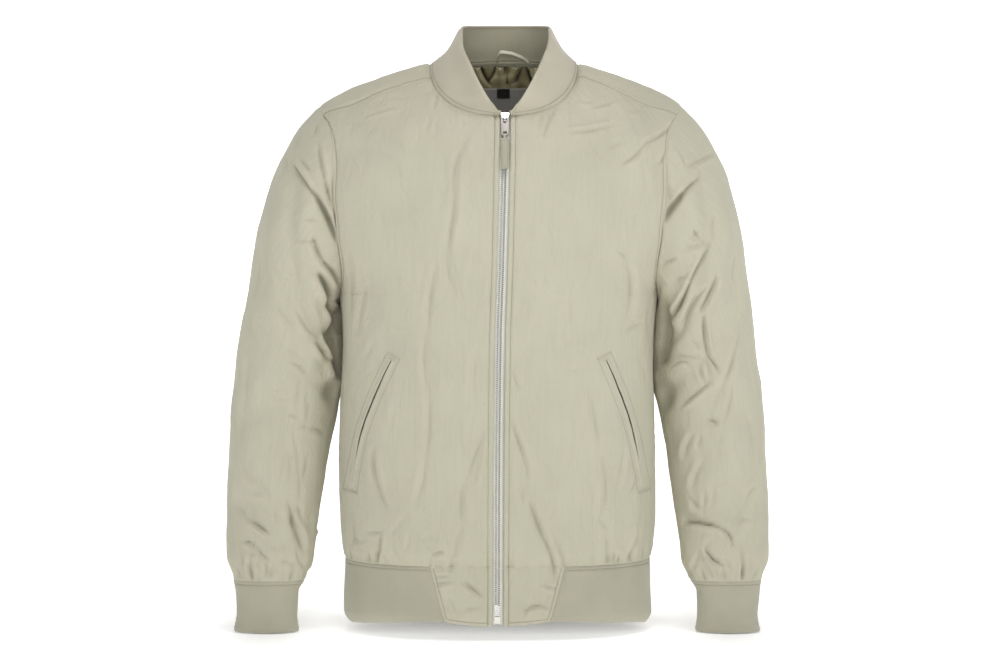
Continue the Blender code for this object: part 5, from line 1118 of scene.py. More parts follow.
def rib_look(name, light, deep):
    """1x1 rib knit: soft upright ribs whose furrows are painted darker as shade, a matt, slightly fuzzy yarn. The
    1.4 mm rib of the real knit is drawn wider where it would not show."""
    made, tree, uv = material(name)
    across = add_node(tree, "ShaderNodeSeparateXYZ", [(0, uv)]).outputs["X"]
    angle = maths(tree, "MULTIPLY_ADD", across, 2 * np.pi / (RIB_PITCH * MM), noise(tree, uv, 60.0))
    rib = ranged(tree, maths(tree, "COSINE", angle), -1.0, 1.0)
    cloud, fuzz = noise(tree, uv, 25.0, 4.0), noise(tree, uv, 900.0)
    # painted shade: the colour follows the ribs and is darker in the furrows between them
    base = ramp(tree, maths(tree, "MULTIPLY_ADD", rib, 0.35, cloud), ((0.25, deep), (1.0, light)))
    relief = bumped(tree, fuzz, 0.4, 0.2, bumped(tree, rib, 0.3, 0.5))
    values = [("Roughness", 0.9), ("IOR", 1.45), ("Sheen Weight", 0.2), ("Sheen Roughness", 0.6)]
    return finished(made, [("Base Color", base), *relief], values)


def collar(share, turn):
    """The collar's plain form: rings over the neck seam, drawn over its front half to the rim's own line as
    share^1.5. There x and y follow the sine and cosine to the power, and z follows x."""
    share, turn = np.broadcast_arrays(np.asarray(share, float), np.asarray(turn, float))
    points, rim = ring(COLLAR_ROWS, share, turn), ring(COLLAR_ROWS, np.ones_like(share), turn)
    x_at, z_at = columns(COLLAR_RIM)
    cosine = np.clip(np.cos(turn), 0, None)
    x = COLLAR_ROWS[-1][4] * blunt(np.sin(turn), RIM_POWER)
    y = Y_SIDE + (COLLAR_ROWS[-1][5] - Y_SIDE) * cosine**RIM_POWER
    drawn = np.stack([x, y, eased(np.abs(x), x_at, z_at)], -1) - rim
    return settled(points + drawn * (np.clip(share, 0, None) ** 1.5 * (cosine > 0))[..., None])


def collar_face(share, turn):
    """The collar's outer face: pressed in at its seam and a little uneven."""
    place = collar(share, turn)
    up = speeds(collar, share, turn)[0]
    relief = rolling(place, 60.0, 61) * 0.5 + np.sin(np.pi * np.clip(share, 0, 1))
    relief = met(relief, share * up) + pressed((1 - share) * up, 1.3, 2.2)
    relief += pressed(share * up - COLLAR_STITCH, 0.6, 1.2) + 0.35 * trough(share * up - 2.8, 1.4)
    return place + outward(collar, share, turn) * relief[..., None]


def make_collar(look, inner_look):
    """The collar, from one side of the zip round the neck to the other. Its inner face takes a lighter copy of the
    rib, painted light for the shaded inside of the neck.
    """
    first, last = (front_edge_turn(np.array([NECK]), side)[0] for side in (1, -1))
    turns = first + rimmed(COLLAR_LONG, RIB_STEP) * (2 * np.pi - last - first)
    share, turn = np.meshgrid(rimmed(COLLAR_HIGH, RIB_STEP, FINE_RIM), turns, indexing="ij")
    grids = [(collar_face(share, turn), arc_uv(collar(share, turn), len(turns) // 2), np.zeros(1))]
    piece = cloth_piece("collar_knit", grids, look, "collar")
    piece.data.materials.append(inner_look)
    walled(piece, RIB_THICK).material_offset = 1


def hem_face(level, turn):
    """The hem band's outer face."""
    place = body(level, turn)
    up, round_it = speeds(body, level, turn)
    below = (HEM - level) * up
    ends = np.minimum(turn, 2 * np.pi - turn) - slant_turn(level)
    relief = met(rolling(place, 80.0, 63) * 0.5, below, ends * round_it)
    puff = SEW_PUFF * trough(below - 2.2, 1.3)
    relief += pressed(level * up, *HEM_DIP) + pressed(below - BAND_STITCH, *SEW_DIP) + puff
    return place + outward(body, level, turn) * relief[..., None]


def make_hem(look):
    """The band from one slanted end round the back to the other."""
    levels = evenly(body, np.pi * 0.6, 0.0, HEM, RIB_STEP, FINE_RIM)
    start = slant_turn(levels)
    turn = start[:, None] + rimmed(BAND_LONG, RIB_STEP)[None, :] * (2 * np.pi - 2 * start)[:, None]
    level = np.broadcast_to(levels[:, None], turn.shape)
    grids = [(hem_face(level, turn), arc_uv(body(level, turn), turn.shape[1] // 2), np.zeros(1))]
    piece = cloth_piece("hem_knit", grids, look, "hem_rib")
    walled(piece, RIB_THICK)


def cuff_form(side):
    """The plain form of one cuff, as a surface."""

    def form(along, turn):
        """Places on the form."""
        points = settled(tube(CUFF_ROWS, along, turn)[0])
        return points if side > 0 else mirrored(points)

    return form


def cuff_relief(place, along, side):
    """What the sewing adds to a cuff: its seam's band and line of stitches, and its rounded fold."""
    down = along - CUFF_SEAM
    relief = met(rolling(place, 50.0, 65 + side) * 0.4 + 0.4 * (1 - trough(down, 5.0)), down)
    relief += pressed(down - CUFF_STITCH, *SEW_DIP) + SEW_PUFF * trough(down - CUFF_STITCH / 2, 1.3)
    return relief + pressed(CUFF_LONG - down, 1.0, 2.2) + pressed(CUFF_LONG - 7.5 - down, 0.3, 1.2)


def make_cuff(name, side, look):
    """A cuff from its seam to its folded edge."""
    form = cuff_form(side)
    along = CUFF_SEAM + rimmed(CUFF_LONG, RIB_STEP, FINE_RIM) * CUFF_LONG
    along, turn = np.meshgrid(along, np.linspace(0, 2 * np.pi, CUFF_POINTS), indexing="ij")
    place = form(along, turn)
    points = place + outward(form, along, turn) * side * cuff_relief(place, along, side)[..., None]
    grids = [(points, arc_uv(place, CUFF_POINTS // 2), np.zeros(1))]
    piece = cloth_piece(f"{name}_knit", grids, look, name, flip=side < 0)
    walled(piece, RIB_THICK)


band_rib = rib_look("cotton rib knit, sage, band", "#B2AF9B", "#A5A28F")
# the collar's inner face is a lighter copy of its rib: painted light inside the neck, where it lies in shade
make_collar(
    rib_look("cotton rib knit, sage, collar", "#C1BBA7", "#B1AB97"),
    rib_look("cotton rib knit, sage, collar's inner face, painted light", "#CAC5AF", "#BAB59F"),
)
make_hem(band_rib)
make_cuff("cuff_left", 1, band_rib)
make_cuff("cuff_right", -1, band_rib)

neck_ends = [front_edge_turn(np.array([NECK]), side)[0] for side in (1, -1)]
start = slant_turn(0.95) + 0.02
turn = np.linspace(start, 2 * np.pi - start, 900)
level = HEM - BAND_STITCH / speeds(body, np.full(900, HEM), turn)[0]
rib_lines = [sewn(hem_face, level, turn)]
turn = np.linspace(neck_ends[0] + 0.05, 2 * np.pi - neck_ends[1] - 0.05, 500)
rib_lines.append(sewn(collar_face, COLLAR_STITCH / speeds(collar, np.zeros(500), turn)[0], turn))
for side in (1, -1):
    form = cuff_form(side)
    turn = np.linspace(0, 2 * np.pi, 160)
    along = np.full(160, CUFF_SEAM + CUFF_STITCH)
    normal = outward(form, along, turn) * side
    place = form(along, turn)
    rib_lines.append((place + normal * (cuff_relief(place, along, side) + STITCH_LIFT)[:, None], normal))
deep_thread = thread_look("spun polyester thread, deep sage", "#8F8B78", "#A19C88")
stitched("rib_topstitching", rib_lines, deep_thread, pitch=2.4, long=1.9)

# ------------------------------------------------------------------------------------------------------------
# Pockets: two welts on each front, folded strips of the twill sewn in along a slanted slit over a cotton bag,
# which is coloured near black as painted shade in the slit. They are topstitched round in a long box, with a bar
# tack across each of its ends.
# ------------------------------------------------------------------------------------------------------------
SLIT_PLACES = {  # x and z of each one's top, middle and foot
    1: ((129.5, -368.0), (157.6, -440.0), (177.0, -524.0)), -1: ((126.0, -368.0), (157.6, -440.0), (178.0, -524.0)),
}
WELT_LOOP = (  # across from the slit's middle, and height over the front
    (1.0, -0.6), (0.9, 0.4), (1.2, 0.8), (2.0, 1.0), (3.1, 0.9), (4.2, 0.6), (4.9, 0.1), (5.1, -0.3), (4.7, -0.7),
)
SLIT_SHUT = (  # share down it: how far each welt shuts it
    (0.0, 0.5), (0.15, 0.2), (0.3, 0.0), (0.55, 0.0), (0.8, 0.8), (1.0, 1.25),
)
BOX_LIFT, SLIT_POINTS = 0.2, 64  # of the box's stitches over the front, and the points along a welt
BAG_LOOP = ((-1.7, -0.7), (1.7, -0.7), (1.7, 0.3), (0.0, 0.25), (-1.7, 0.3))  # as the welt's
BOX_HALF, BOX_END, TACK = 8.8, 0.035, 0.6  # the stitched box: half its width, its ends past the slit, its tacks


def found(surface, x, z, u, v):
    """The parameters at which a surface has that x and z, by Newton's method from a first guess."""
    for _ in range(8):
        place = surface(u, v)
        along_u, along_v = slopes(surface, u, v)
        off_x, off_z = x - place[..., 0], z - place[..., 2]
        area = along_u[..., 0] * along_v[..., 2] - along_u[..., 2] * along_v[..., 0]
        u = u + (off_x * along_v[..., 2] - off_z * along_v[..., 0]) / area
        v = v + (off_z * along_u[..., 0] - off_x * along_u[..., 2]) / area
    return u, v


def on_front(x, z, height):
    """Places at a height over the fronts' outer face by x and z, with the plain form's normals."""
    level = np.interp(z, [row[2] for row in BODY_ROWS], [row[0] for row in BODY_ROWS])
    level, turn = found(body, x, z, level, turn_at(level, x - zip_middle(z)))
    normal = outward(body, level, turn)
    return front_face(level, turn) + normal * np.asarray(height)[..., None], normal


def slit(side, share, across):
    """The x and z at a share down a pocket's slit and a distance across it: x is a parabola in z."""
    x_at, z_at = columns(SLIT_PLACES[side])
    curve = np.polyfit(z_at, x_at, 2)
    z = z_at[0] + (z_at[-1] - z_at[0]) * share
    slope = np.polyval(np.polyder(curve), z)
    aside = across / np.hypot(1, slope)
    return side * (np.polyval(curve, z) + aside) + leans(z)[0], z - aside * slope


def bar_mesh(name, rows):
    """A closed bar from rows of loops in millimetres. Its ends are drawn to their middles, and it is turned to face
    outward by the sum, over its faces, of their normals times their way out from the middle of the row."""
    shut = np.concatenate([rows[:1], rows, rows[-1:]])
    shut[0], shut[-1] = rows[0].mean(axis=0), rows[-1].mean(axis=0)
    along, across = np.diff(rows, axis=0), (np.roll(rows, -1, axis=1) - rows)[:-1]
    out = rows[:-1] - rows[:-1].mean(axis=1, keepdims=True)
    facing = np.sum(np.cross(across, along) * out)
    return grid_mesh(name, [(shut, arc_uv(shut), np.zeros(1))], wraps=True, flip=bool(facing < 0))


def slit_bar(name, side, way, loop, look, first=0.0, last=1.0):
    """A bar that lies along a pocket's slit, with a loop of distances across and heights as its section."""
    across, height = columns(loop)
    share = np.linspace(first, last, SLIT_POINTS)[:, None] + 0 * across[None]
    shut_at, shut = columns(SLIT_SHUT)
    x, z = slit(side, share, way * (across[None] - eased(share, shut_at, shut)))
    points, _ = on_front(x, z, height[None] + 0 * share)
    return add_piece(name, bar_mesh(name, points), look)


def pocket_stitches(side):
    """The topstitched box round a slit, and a bar tack across each end."""
    ends = (-BOX_END, 1 + BOX_END)
    share = np.linspace(*ends, 90)
    lines = [(share, np.full(90, across)) for across in (-BOX_HALF, BOX_HALF)]
    for end in (*ends, -TACK * BOX_END, 1 + TACK * BOX_END):
        lines.append((np.full(24, end), np.linspace(-BOX_HALF, BOX_HALF, 24)))
    return [on_front(*slit(side, *line), BOX_LIFT) for line in lines]


# the pocket bag is coloured near black: painted shade for the dark of the slit between the welts
bag_painted_shade = thread_look("cotton bag, painted shade", "#1F1D13", "#2B281C")
pocket_lines = []
for side, word in ((1, "left"), (-1, "right")):
    for end, way in (("fore", -1), ("aft", 1)):
        welt = slit_bar(f"pocket_{word}_{end}_welt", side, way, WELT_LOOP, sage_twill)
        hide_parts(f"pocket_{word}_{end}")
    slit_bar(f"pocket_{word}_bag", side, 1, BAG_LOOP, bag_painted_shade, 0.01, 0.99)
    pocket_lines += pocket_stitches(side)
stitched("pocket_topstitching", pocket_lines, sage_thread, pitch=2.6, long=2.0, radius=0.26)

# ------------------------------------------------------------------------------------------------------------
# Zip: two woven polyester tapes sewn in under the fronts' edges, and an open-end chain of moulded metal teeth.
# Each tooth is clinched on the beaded edge of its tape and reaches across the middle between two of the other's.
# ------------------------------------------------------------------------------------------------------------
TAPE_FOOT, TAPE_TOP, TAPE_THICK = -686.0, -71.0, 0.9  # z of its ends
TAPE_ROWS = ((3.0, 1.2), (4.2, 1.2), (5.0, 1.4), (6.5, 2.2), (9.0, 3.1), (13.0, 3.4), (17.0, 3.5))  # across, depth
TEETH_FOOT, TEETH_TOP, TEETH_PITCH = -672.5, -83.0, 2.5  # z of the chain's ends
LINE_HALF, LINE_BACK = 8.0, 0.09  # half the flat middle's width, and how steeply the chest falls back beside it
TOOTH_ROWS = (  # across, half its height, half its depth: from its clinched root to its head
    (4.4, 0.5, 0.9), (4.1, 0.68, 1.2), (2.8, 0.68, 1.2), (1.9, 0.58, 0.8), (1.0, 0.5, 0.45), (-0.4, 0.5, 0.4),
    (-1.0, 0.4, 0.3),
)
TEETH_DEEP, TOOTH_CORNER = 1.75, 0.32  # how far their middles lie behind the line, and how square they are
STRIPE_WIDE = 6.0  # of two stripes of the tapes' herringbone


def zip_line(z):
    """The zip's middle at a height, between the plain form's places to either side, and its way out."""
    levels = np.linspace(0, NECK, 700)
    turn = turn_at(levels, LINE_HALF)
    line = (body(levels, turn) + body(levels, -turn)) / 2
    way = np.gradient(line, axis=0)
    out = unit(np.stack([0 * levels, -way[:, 2], way[:, 1]], -1))
    return [np.stack([np.interp(z, line[:, 2], c[:, k]) for k in range(3)], -1) for c in (line, out)]


def on_zip(z, across, height):
    """Places by height along the zip, distance across it and distance out of the jacket. Beyond the flat middle
    they fall back with the chest."""
    line, out = zip_line(z)
    back = LINE_BACK * np.clip(np.abs(across) - LINE_HALF, 0, None)
    return line + np.array([1.0, 0, 0]) * np.asarray(across)[..., None] + out * (height - back)[..., None]


def make_tape(name, side, look):
    """One tape, from its bead beside the teeth to its edge under the front."""
    across, depth = columns(TAPE_ROWS)
    z = np.linspace(TAPE_FOOT, TAPE_TOP, 206)[:, None] + 0 * across[None]
    points = on_zip(z, side * across[None] + 0 * z, -depth[None] + 0 * z)
    if side < 0:
        points = points[:, ::-1]
    piece = cloth_piece(f"{name}_woven", [(points, arc_uv(points), np.zeros(1))], look, name)
    walled(piece, TAPE_THICK)


def make_teeth(name, look):
    """All the teeth as one mesh: a rounded bar of loops across the middle, repeated up both tapes, a half pitch
    apart."""
    across, high, deep = columns(TOOTH_ROWS)
    corner = np.linspace(0, 2 * np.pi, 8, endpoint=False) + np.pi / 8
    local_z = high[:, None] * blunt(np.cos(corner), TOOTH_CORNER)[None]
    local_out = deep[:, None] * blunt(np.sin(corner), TOOTH_CORNER)[None]
    rows, count = local_z.shape
    faces = corners(rows, count, True)
    cap = np.arange(count)
    points, quads, caps, start = [], [], [], 0
    for side in (1, -1):
        at = np.arange(TEETH_FOOT + (TEETH_PITCH / 2 if side < 0 else 0), TEETH_TOP, TEETH_PITCH)
        z = at[:, None, None] + local_z[None]
        shape = on_zip(z, side * across[None, :, None] + 0 * z, local_out[None] - TEETH_DEEP + 0 * z)
        starts = start + np.arange(len(at))[:, None, None] * rows * count
        turned = faces[:, ::-1] if side > 0 else faces
        quads.append((turned[None] + starts).reshape(-1, 4))
        ends = np.stack([cap, cap[::-1] + (rows - 1) * count])
        ends = ends if side > 0 else ends[:, ::-1]
        caps.append((ends[None] + starts).reshape(-1, count))
        points.append(shape.reshape(-1, 3))
        start += len(points[-1])
    mesh = bpy.data.meshes.new(name)
    mesh.from_pydata(
        (np.concatenate(points) * MM).tolist(), [],
        [*np.concatenate(quads).tolist(), *np.concatenate(caps).tolist()],
    )
    mesh.shade_smooth()
    add_piece(name, mesh, look, nodes=("zip_chain",))


def tape_look(name, light, deep):
    """Woven polyester zip tape: a fine herringbone with a soft gleam. The 0.4 mm thread is drawn at 0.8 mm."""
    made, tree, uv = material(name)
    leaning = [threads(tree, scaled(tree, uv, (way, 1.0, 1.0)), 0.8, 0.3) for way in (1.0, -1.0)]
    side = add_node(tree, "ShaderNodeSeparateXYZ", [(0, uv)]).outputs["X"]
    stripe = maths(tree, "SINE", maths(tree, "MULTIPLY", side, 2 * np.pi / (STRIPE_WIDE * MM)))
    stripe = maths(tree, "GREATER_THAN", stripe, 0.0)
    links = [(0, stripe), (2, leaning[0]), (3, leaning[1])]
    weave = add_node(tree, "ShaderNodeMix", links, data_type="FLOAT").outputs[0]
    base = ramp(tree, weave, ((0.0, deep), (1.0, light)))
    values = [("Roughness", 0.6), ("IOR", 1.5), ("Sheen Weight", 0.15)]
    return finished(made, [("Base Color", base), *bumped(tree, weave, 0.5, 0.3)], values)


def metal_look(name, colour, rough):
    """Nickel-plated zinc with a tumbled, slightly uneven face."""
    made, tree, place = material(name, on_cloth=False)
    wear = noise(tree, place, 900.0, 3.0)
    finish = ranged(tree, wear, 0.0, 1.0, rough - 0.08, rough + 0.08)
    links = [("Roughness", finish), *bumped(tree, wear, 0.2, 0.1)]
    return finished(made, links, [("Base Color", linear(colour)), ("Metallic", 1.0)])


zip_woven = tape_look("woven polyester tape, pale sage", "#E2E2D7", "#D0D0C4")
make_tape("zip_tape_left", 1, zip_woven)
make_tape("zip_tape_right", -1, zip_woven)
make_teeth("zip_teeth", metal_look("nickel-plated zinc, tumbled", "#E6E5E0", 0.45))

# ------------------------------------------------------------------------------------------------------------
# Slider and box: die-cast zinc, nickel-plated. The slider has two plates joined by a web at its top, with a bridge
# for the tab over the front one. The box holds the chain's foot and the insertion pin.
# ------------------------------------------------------------------------------------------------------------
SLIDER_TOP, SLIDER_LONG = -69.5, 13.0  # z of its top
SLIDER_OUTLINE = (  # across and up from its foot, the right half from the notch at its top
    (0.0, 11.2), (1.3, 12.4), (3.0, 13.0), (4.9, 12.7), (5.9, 11.2), (5.9, 8.4), (5.2, 5.6), (4.6, 2.6), (4.4, 0.6),
    (3.8, 0.0),
)
FRONT_PLATE, BACK_PLATE, PLATE_THICK = 0.1, -5.2, 1.4  # how far out the middles of both plates are
BRIDGE_WIDE = 3.2
BRIDGE_OUTLINE = (  # out of the front plate's face and up from the slider's foot
    (-0.4, 1.0), (1.2, 1.0), (2.9, 1.4), (3.1, 3.0), (3.1, 10.0), (2.9, 11.6), (1.2, 12.0), (-0.4, 12.0),
    (-0.4, 10.5), (1.5, 10.5), (2.0, 10.1), (2.0, 2.9), (1.5, 2.5), (-0.4, 2.5),
)
WEB_OUTLINE = ((0.0, 8.0), (1.5, 9.6), (1.6, 12.2), (0.0, 12.8), (-1.6, 12.2), (-1.5, 9.6))
BOX_OUTLINE = (
    (-3.6, -5.2), (3.6, -5.2), (3.8, -4.0), (3.8, 4.2), (2.6, 5.2), (0.6, 4.2), (-0.6, 4.2), (-2.6, 5.2),
    (-3.8, 4.2), (-3.8, -4.0),
)
BOX_MIDDLE, BOX_THICK, BOX_DEEP = -679.4, 2.8, 1.9  # z of its middle, and how far that lies behind the line


def rounded(outline, times=2):
    """A closed outline with its corners cut, each time at a quarter and three quarters of every side."""
    points = np.array(outline, float)
    for _ in range(times):
        ahead = np.roll(points, -1, axis=0)
        points = np.stack([points * 0.75 + ahead * 0.25, points * 0.25 + ahead * 0.75], 1).reshape(-1, 2)
    return points


def plate(outlines, thick, bevel):
    """A flat plate with rounded rims as points and faces, a filled curve made a mesh: x and y are the outline's,
    and z is across its thickness. Outlines after the first are holes."""
    flat = bpy.data.curves.new("outline", "CURVE")
    flat.dimensions, flat.fill_mode = "2D", "BOTH"
    flat.extrude, flat.bevel_depth, flat.bevel_resolution, flat.offset = thick / 2 - bevel, bevel, 2, -bevel
    for loop in outlines:
        spline = flat.splines.new("POLY")
        spline.points.add(len(loop) - 1)
        spline.use_cyclic_u = True
        spline.points.foreach_set("co", np.column_stack([loop, np.zeros(len(loop)), np.ones(len(loop))]).ravel())
    drawn = bpy.data.objects.new("outline", flat)
    mesh = bpy.data.meshes.new_from_object(drawn)
    points = np.zeros(len(mesh.vertices) * 3)
    mesh.vertices.foreach_get("co", points)
    faces = [tuple(face.vertices) for face in mesh.polygons]
    bpy.data.objects.remove(drawn)
    bpy.data.curves.remove(flat)
    bpy.data.meshes.remove(mesh)
    return points.reshape(-1, 3), faces


def joined(name, shapes):
    """One mesh from several shapes' points in millimetres and faces, its meeting points merged and its faces turned
    outward."""
    points, faces = [], []
    for places, polygons in shapes:
        start = sum(len(p) for p in points)
        points.append(places)
        faces += [tuple(start + i for i in polygon) for polygon in polygons]
    mesh = bpy.data.meshes.new(name)
    mesh.from_pydata((np.concatenate(points) * MM).tolist(), [], faces)
    work = bmesh.new()
    work.from_mesh(mesh)
    bmesh.ops.remove_doubles(work, verts=work.verts, dist=0.01 * MM)
    bmesh.ops.recalc_face_normals(work, faces=work.faces)
    work.to_mesh(mesh)
    work.free()
    mesh.shade_smooth()
    mesh.set_sharp_from_angle(angle=np.radians(50))
    return mesh


def slider_axes():
    """The slider's foot and its axes: across, out of the jacket and up the zip."""
    low, high = (zip_line(z)[0] for z in (SLIDER_TOP - SLIDER_LONG, SLIDER_TOP - SLIDER_LONG / 2))
    up = high - low
    up[0] = 0
    up = unit(up)
    return low, np.array([[1.0, 0, 0], [0.0, -up[2], up[1]], up])


def on_slider(across, out, up):
    """Places by their distances across, out of and up from the slider's foot."""
    foot, axes = slider_axes()
    return foot + np.stack(np.broadcast_arrays(across, out, up), -1) @ axes


def make_slider(look):
    """Both plates, the web between them and the bridge, as one casting."""
    half = np.array(SLIDER_OUTLINE)
    left = half[:0:-1] * [-1, 1]
    outline = rounded(np.concatenate([half, left]))
    shapes = []
    for middle in (FRONT_PLATE, BACK_PLATE):
        points, faces = plate([outline], PLATE_THICK, 0.4)
        shapes.append((on_slider(points[:, 0], middle + points[:, 2], points[:, 1]), faces))
    points, faces = plate([rounded(WEB_OUTLINE, 1)], FRONT_PLATE - BACK_PLATE, 0.1)
    middle = (FRONT_PLATE + BACK_PLATE) / 2
    shapes.append((on_slider(points[:, 0], middle + points[:, 2], points[:, 1]), faces))
    points, faces = plate([rounded(BRIDGE_OUTLINE)], BRIDGE_WIDE, 0.35)
    face = FRONT_PLATE + PLATE_THICK / 2
    shapes.append((on_slider(points[:, 2], face + points[:, 0], points[:, 1]), faces))
    mesh = joined("zip_slider_cast", shapes)
    add_piece("zip_slider_cast", mesh, look, nodes=("zip_slider",))


def make_box(look):
    """The box at the chain's foot, with the slot for its pin."""
    points, faces = plate([rounded(BOX_OUTLINE)], BOX_THICK, 0.45)
    places = on_zip(BOX_MIDDLE + points[:, 1], points[:, 0], points[:, 2] - BOX_DEEP)
    mesh = joined("zip_box_cast", [(places, faces)])
    add_piece("zip_box_cast", mesh, look, nodes=("zip_box",))


bright_nickel = metal_look("nickel-plated zinc, polished", "#E2E0DA", 0.22)
make_slider(bright_nickel)
make_box(bright_nickel)

# ------------------------------------------------------------------------------------------------------------
# Pull tab and puller, which swing together on the bridge: a nickel-plated plate with a window for the bridge, and a
# strap of self fabric that is threaded through its foot, folded over and stitched down both edges.
# ------------------------------------------------------------------------------------------------------------
HINGE_OUT, HINGE_UP = 1.8, 3.65  # from the slider's foot
TAB_OUTLINE = (  # across and up from the hinge, as its window and hole
    (-4.6, 0.65), (4.6, 0.65), (5.2, 0.0), (5.2, -20.4), (3.4, -25.3), (-3.4, -25.3), (-5.2, -20.4), (-5.2, 0.0),
)
TAB_WINDOW = ((-2.3, -7.15), (2.3, -7.15), (2.3, -0.65), (-2.3, -0.65))
TAB_HOLE = ((-2.2, -24.1), (2.2, -24.1), (2.2, -19.6), (-2.2, -19.6))
TAB_THICK = 1.3
STRAP_TOP, STRAP_LONG, STRAP_BOW = -25.8, 46.0, 0.25  # its top from the hinge, its length and how much it waves
STRAP_ROWS = (  # down from its top: half its width, half its thickness
    (0.0, 1.9, 1.5), (2.4, 2.0, 1.55), (3.6, 2.8, 1.4), (4.8, 4.2, 1.25), (5.8, 4.6, 1.2), (12.0, 4.6, 1.15),
    (24.0, 4.6, 1.15), (36.0, 4.6, 1.15), (45.2, 4.6, 1.2), (46.0, 4.5, 1.0),
)
STRAP_CORNER, NECK_CORNER = 0.3, 0.5  # how square their sections are
SEW_HALF, SEW_OUT = 3.5, 1.15  # how far from the strap's middle it is sewn, and how far out its face lies
NECK_HALF, NECK_PLY, NECK_OUT, NECK_FOOT, NECK_TOP = 1.7, 0.8, 1.45, -26.6, -23.0  # the ply round the tab's foot


def make_tab(look):
    """The tab, hanging from the bridge."""
    points, faces = plate([rounded(TAB_OUTLINE), rounded(TAB_WINDOW, 1), rounded(TAB_HOLE, 1)], TAB_THICK, 0.3)
    places = on_slider(points[:, 0], HINGE_OUT + points[:, 2], HINGE_UP + points[:, 1])
    mesh = joined("zip_tab_cast", [(places, faces)])
    add_piece("zip_tab_cast", mesh, look, "zip_pull", ("zip_tab",))


def strap_rows():
    """The strap's loops: rounded, waving a little out and in, and narrow where it is threaded."""
    down, half, thick = columns(STRAP_ROWS)
    at = np.concatenate([np.linspace(0, 5, 11), np.linspace(6.5, 45, 24), [45.5, STRAP_LONG]])
    wide, deep = eased(at, down, half)[:, None], eased(at, down, thick)[:, None]
    turn = np.linspace(0, 2 * np.pi, 28, endpoint=False)[None]
    across, out = wide * blunt(np.cos(turn), STRAP_CORNER), deep * blunt(np.sin(turn), STRAP_CORNER)
    bow = STRAP_BOW * np.sin(at / 7.0)[:, None] * (at / STRAP_LONG)[:, None]
    return on_slider(across, HINGE_OUT + out + bow, HINGE_UP + STRAP_TOP - at[:, None])


def ply_rows():
    """The loops of the ply that runs up before the tab's foot, over it as half a circle, and down behind it."""
    bend = np.linspace(0, np.pi, 12)
    leg = np.linspace(NECK_FOOT, NECK_TOP - 0.5, 3)
    path_out = np.concatenate([[NECK_OUT] * 3, NECK_OUT * np.cos(bend), [-NECK_OUT] * 3])
    path_up = np.concatenate([leg, NECK_TOP + 0.7 * np.sin(bend), leg[::-1]])
    way = unit(np.stack([np.gradient(path_out), np.gradient(path_up)], -1))
    side = np.stack([way[:, 1], -way[:, 0]], -1) * NECK_PLY / 2
    turn = np.linspace(0, 2 * np.pi, 16, endpoint=False)
    wave, lift = blunt(np.cos(turn), NECK_CORNER), blunt(np.sin(turn), NECK_CORNER)
    out, up = path_out[:, None] + side[:, :1] * lift, path_up[:, None] + side[:, 1:] * lift
    return on_slider(NECK_HALF * wave[None], HINGE_OUT + out, HINGE_UP + up)


def strap_stitches():
    """Lines of stitches down both edges of the strap's front face and across its ends."""
    edges = [(np.full(60, across), np.linspace(6.6, 44.5, 60)) for across in (-SEW_HALF, SEW_HALF)]
    ends = [(np.linspace(-SEW_HALF, SEW_HALF, 12), np.full(12, at)) for at in (6.8, 44.0)]
    front, (_, axes) = HINGE_OUT + SEW_OUT, slider_axes()
    return [
        (on_slider(across, front, HINGE_UP + STRAP_TOP - down), np.broadcast_to(axes[1], (len(down), 3)))
        for across, down in (*edges, *ends)
    ]


def make_puller(look, thread):
    """The strap and the ply that holds it to the tab."""
    mesh = bar_mesh("zip_puller_strap", strap_rows())
    piece = add_piece("zip_puller_strap", mesh, look, "zip_pull", ("zip_puller",))
    loop = add_piece("zip_puller_neck", bar_mesh("zip_puller_neck", ply_rows()), look, "zip_pull")
    lines = strap_stitches()
    stitched("puller_stitching", lines, thread, pitch=1.9, long=1.4, radius=0.22, body_name="zip_pull")


make_tab(metal_look("nickel-plated zinc, brushed", "#948F8A", 0.4))
make_puller(twill("cotton twill strap, sage", "#B6B4A1", "#A5A28F", "#BDB6A2"), sage_thread)

# ------------------------------------------------------------------------------------------------------------
# Back neck: a yoke lining of olive satin puckered into the neck seam, a plain woven label with a size tab over it,
# and a hanger loop of self fabric. Label and tab are sewn down at their edges and carry no words.
# ------------------------------------------------------------------------------------------------------------
LINING_TURN, LINING_TOP, LINING_FOOT = 40.0, 9.96, 8.45  # degrees to each side of the nape, and its levels
LINING_DEEP, LINING_THICK = 3.7, 1.0  # how far inside the back's plain form it lies
LINING_DEPTH = 2.3  # how much deeper than their rows say its creases are worn
LINING_CALM, LINING_BREAK = -22.0, 10.0  # the height from which it creases, and over how much more it comes to
LINING_CREASES = (  # x and z of both ends, bow, width, depth and lip, as seen from inside
    (-34, 16, -20, -16, 3, 3.6, 3.0, 0.9), (-12, 16, -24, -12, -3, 3.2, 2.4, -0.8),
    (-2, 15, 4, -18, 2, 3.0, 2.6, 0.8), (18, 15, 8, -14, -3, 3.6, 3.2, 0.9), (28, 16, 38, -16, 3, 3.4, 3.4, -0.9),
    (46, 12, 38, -12, -2, 3.0, 2.4, 0.7), (-42, 12, -46, -12, 1, 3.0, 2.0, 0.7),
)
LABEL_DEEP, TAB_DEEP = 5.9, 6.9  # likewise
LOOP_PATH = (  # across, height, and how far it stands off the collar
    (-11.3, 9.5, 0.2), (-11.1, 15.0, 6.0), (-6.3, 21.0, 9.0), (6.3, 19.5, 9.5), (19.3, 15.2, 6.5),
    (28.8, 10.0, 0.2),
)
LOOP_WIDE, LOOP_THICK, LOOP_LEAN, LOOP_CORNER, LOOP_OFF = 5.0, 1.4, -0.5, 0.4, 0.6
NECK_X = LEAN_ROWS[-1][1] + LEAN_ROWS[-1][2]  # the neck's middle


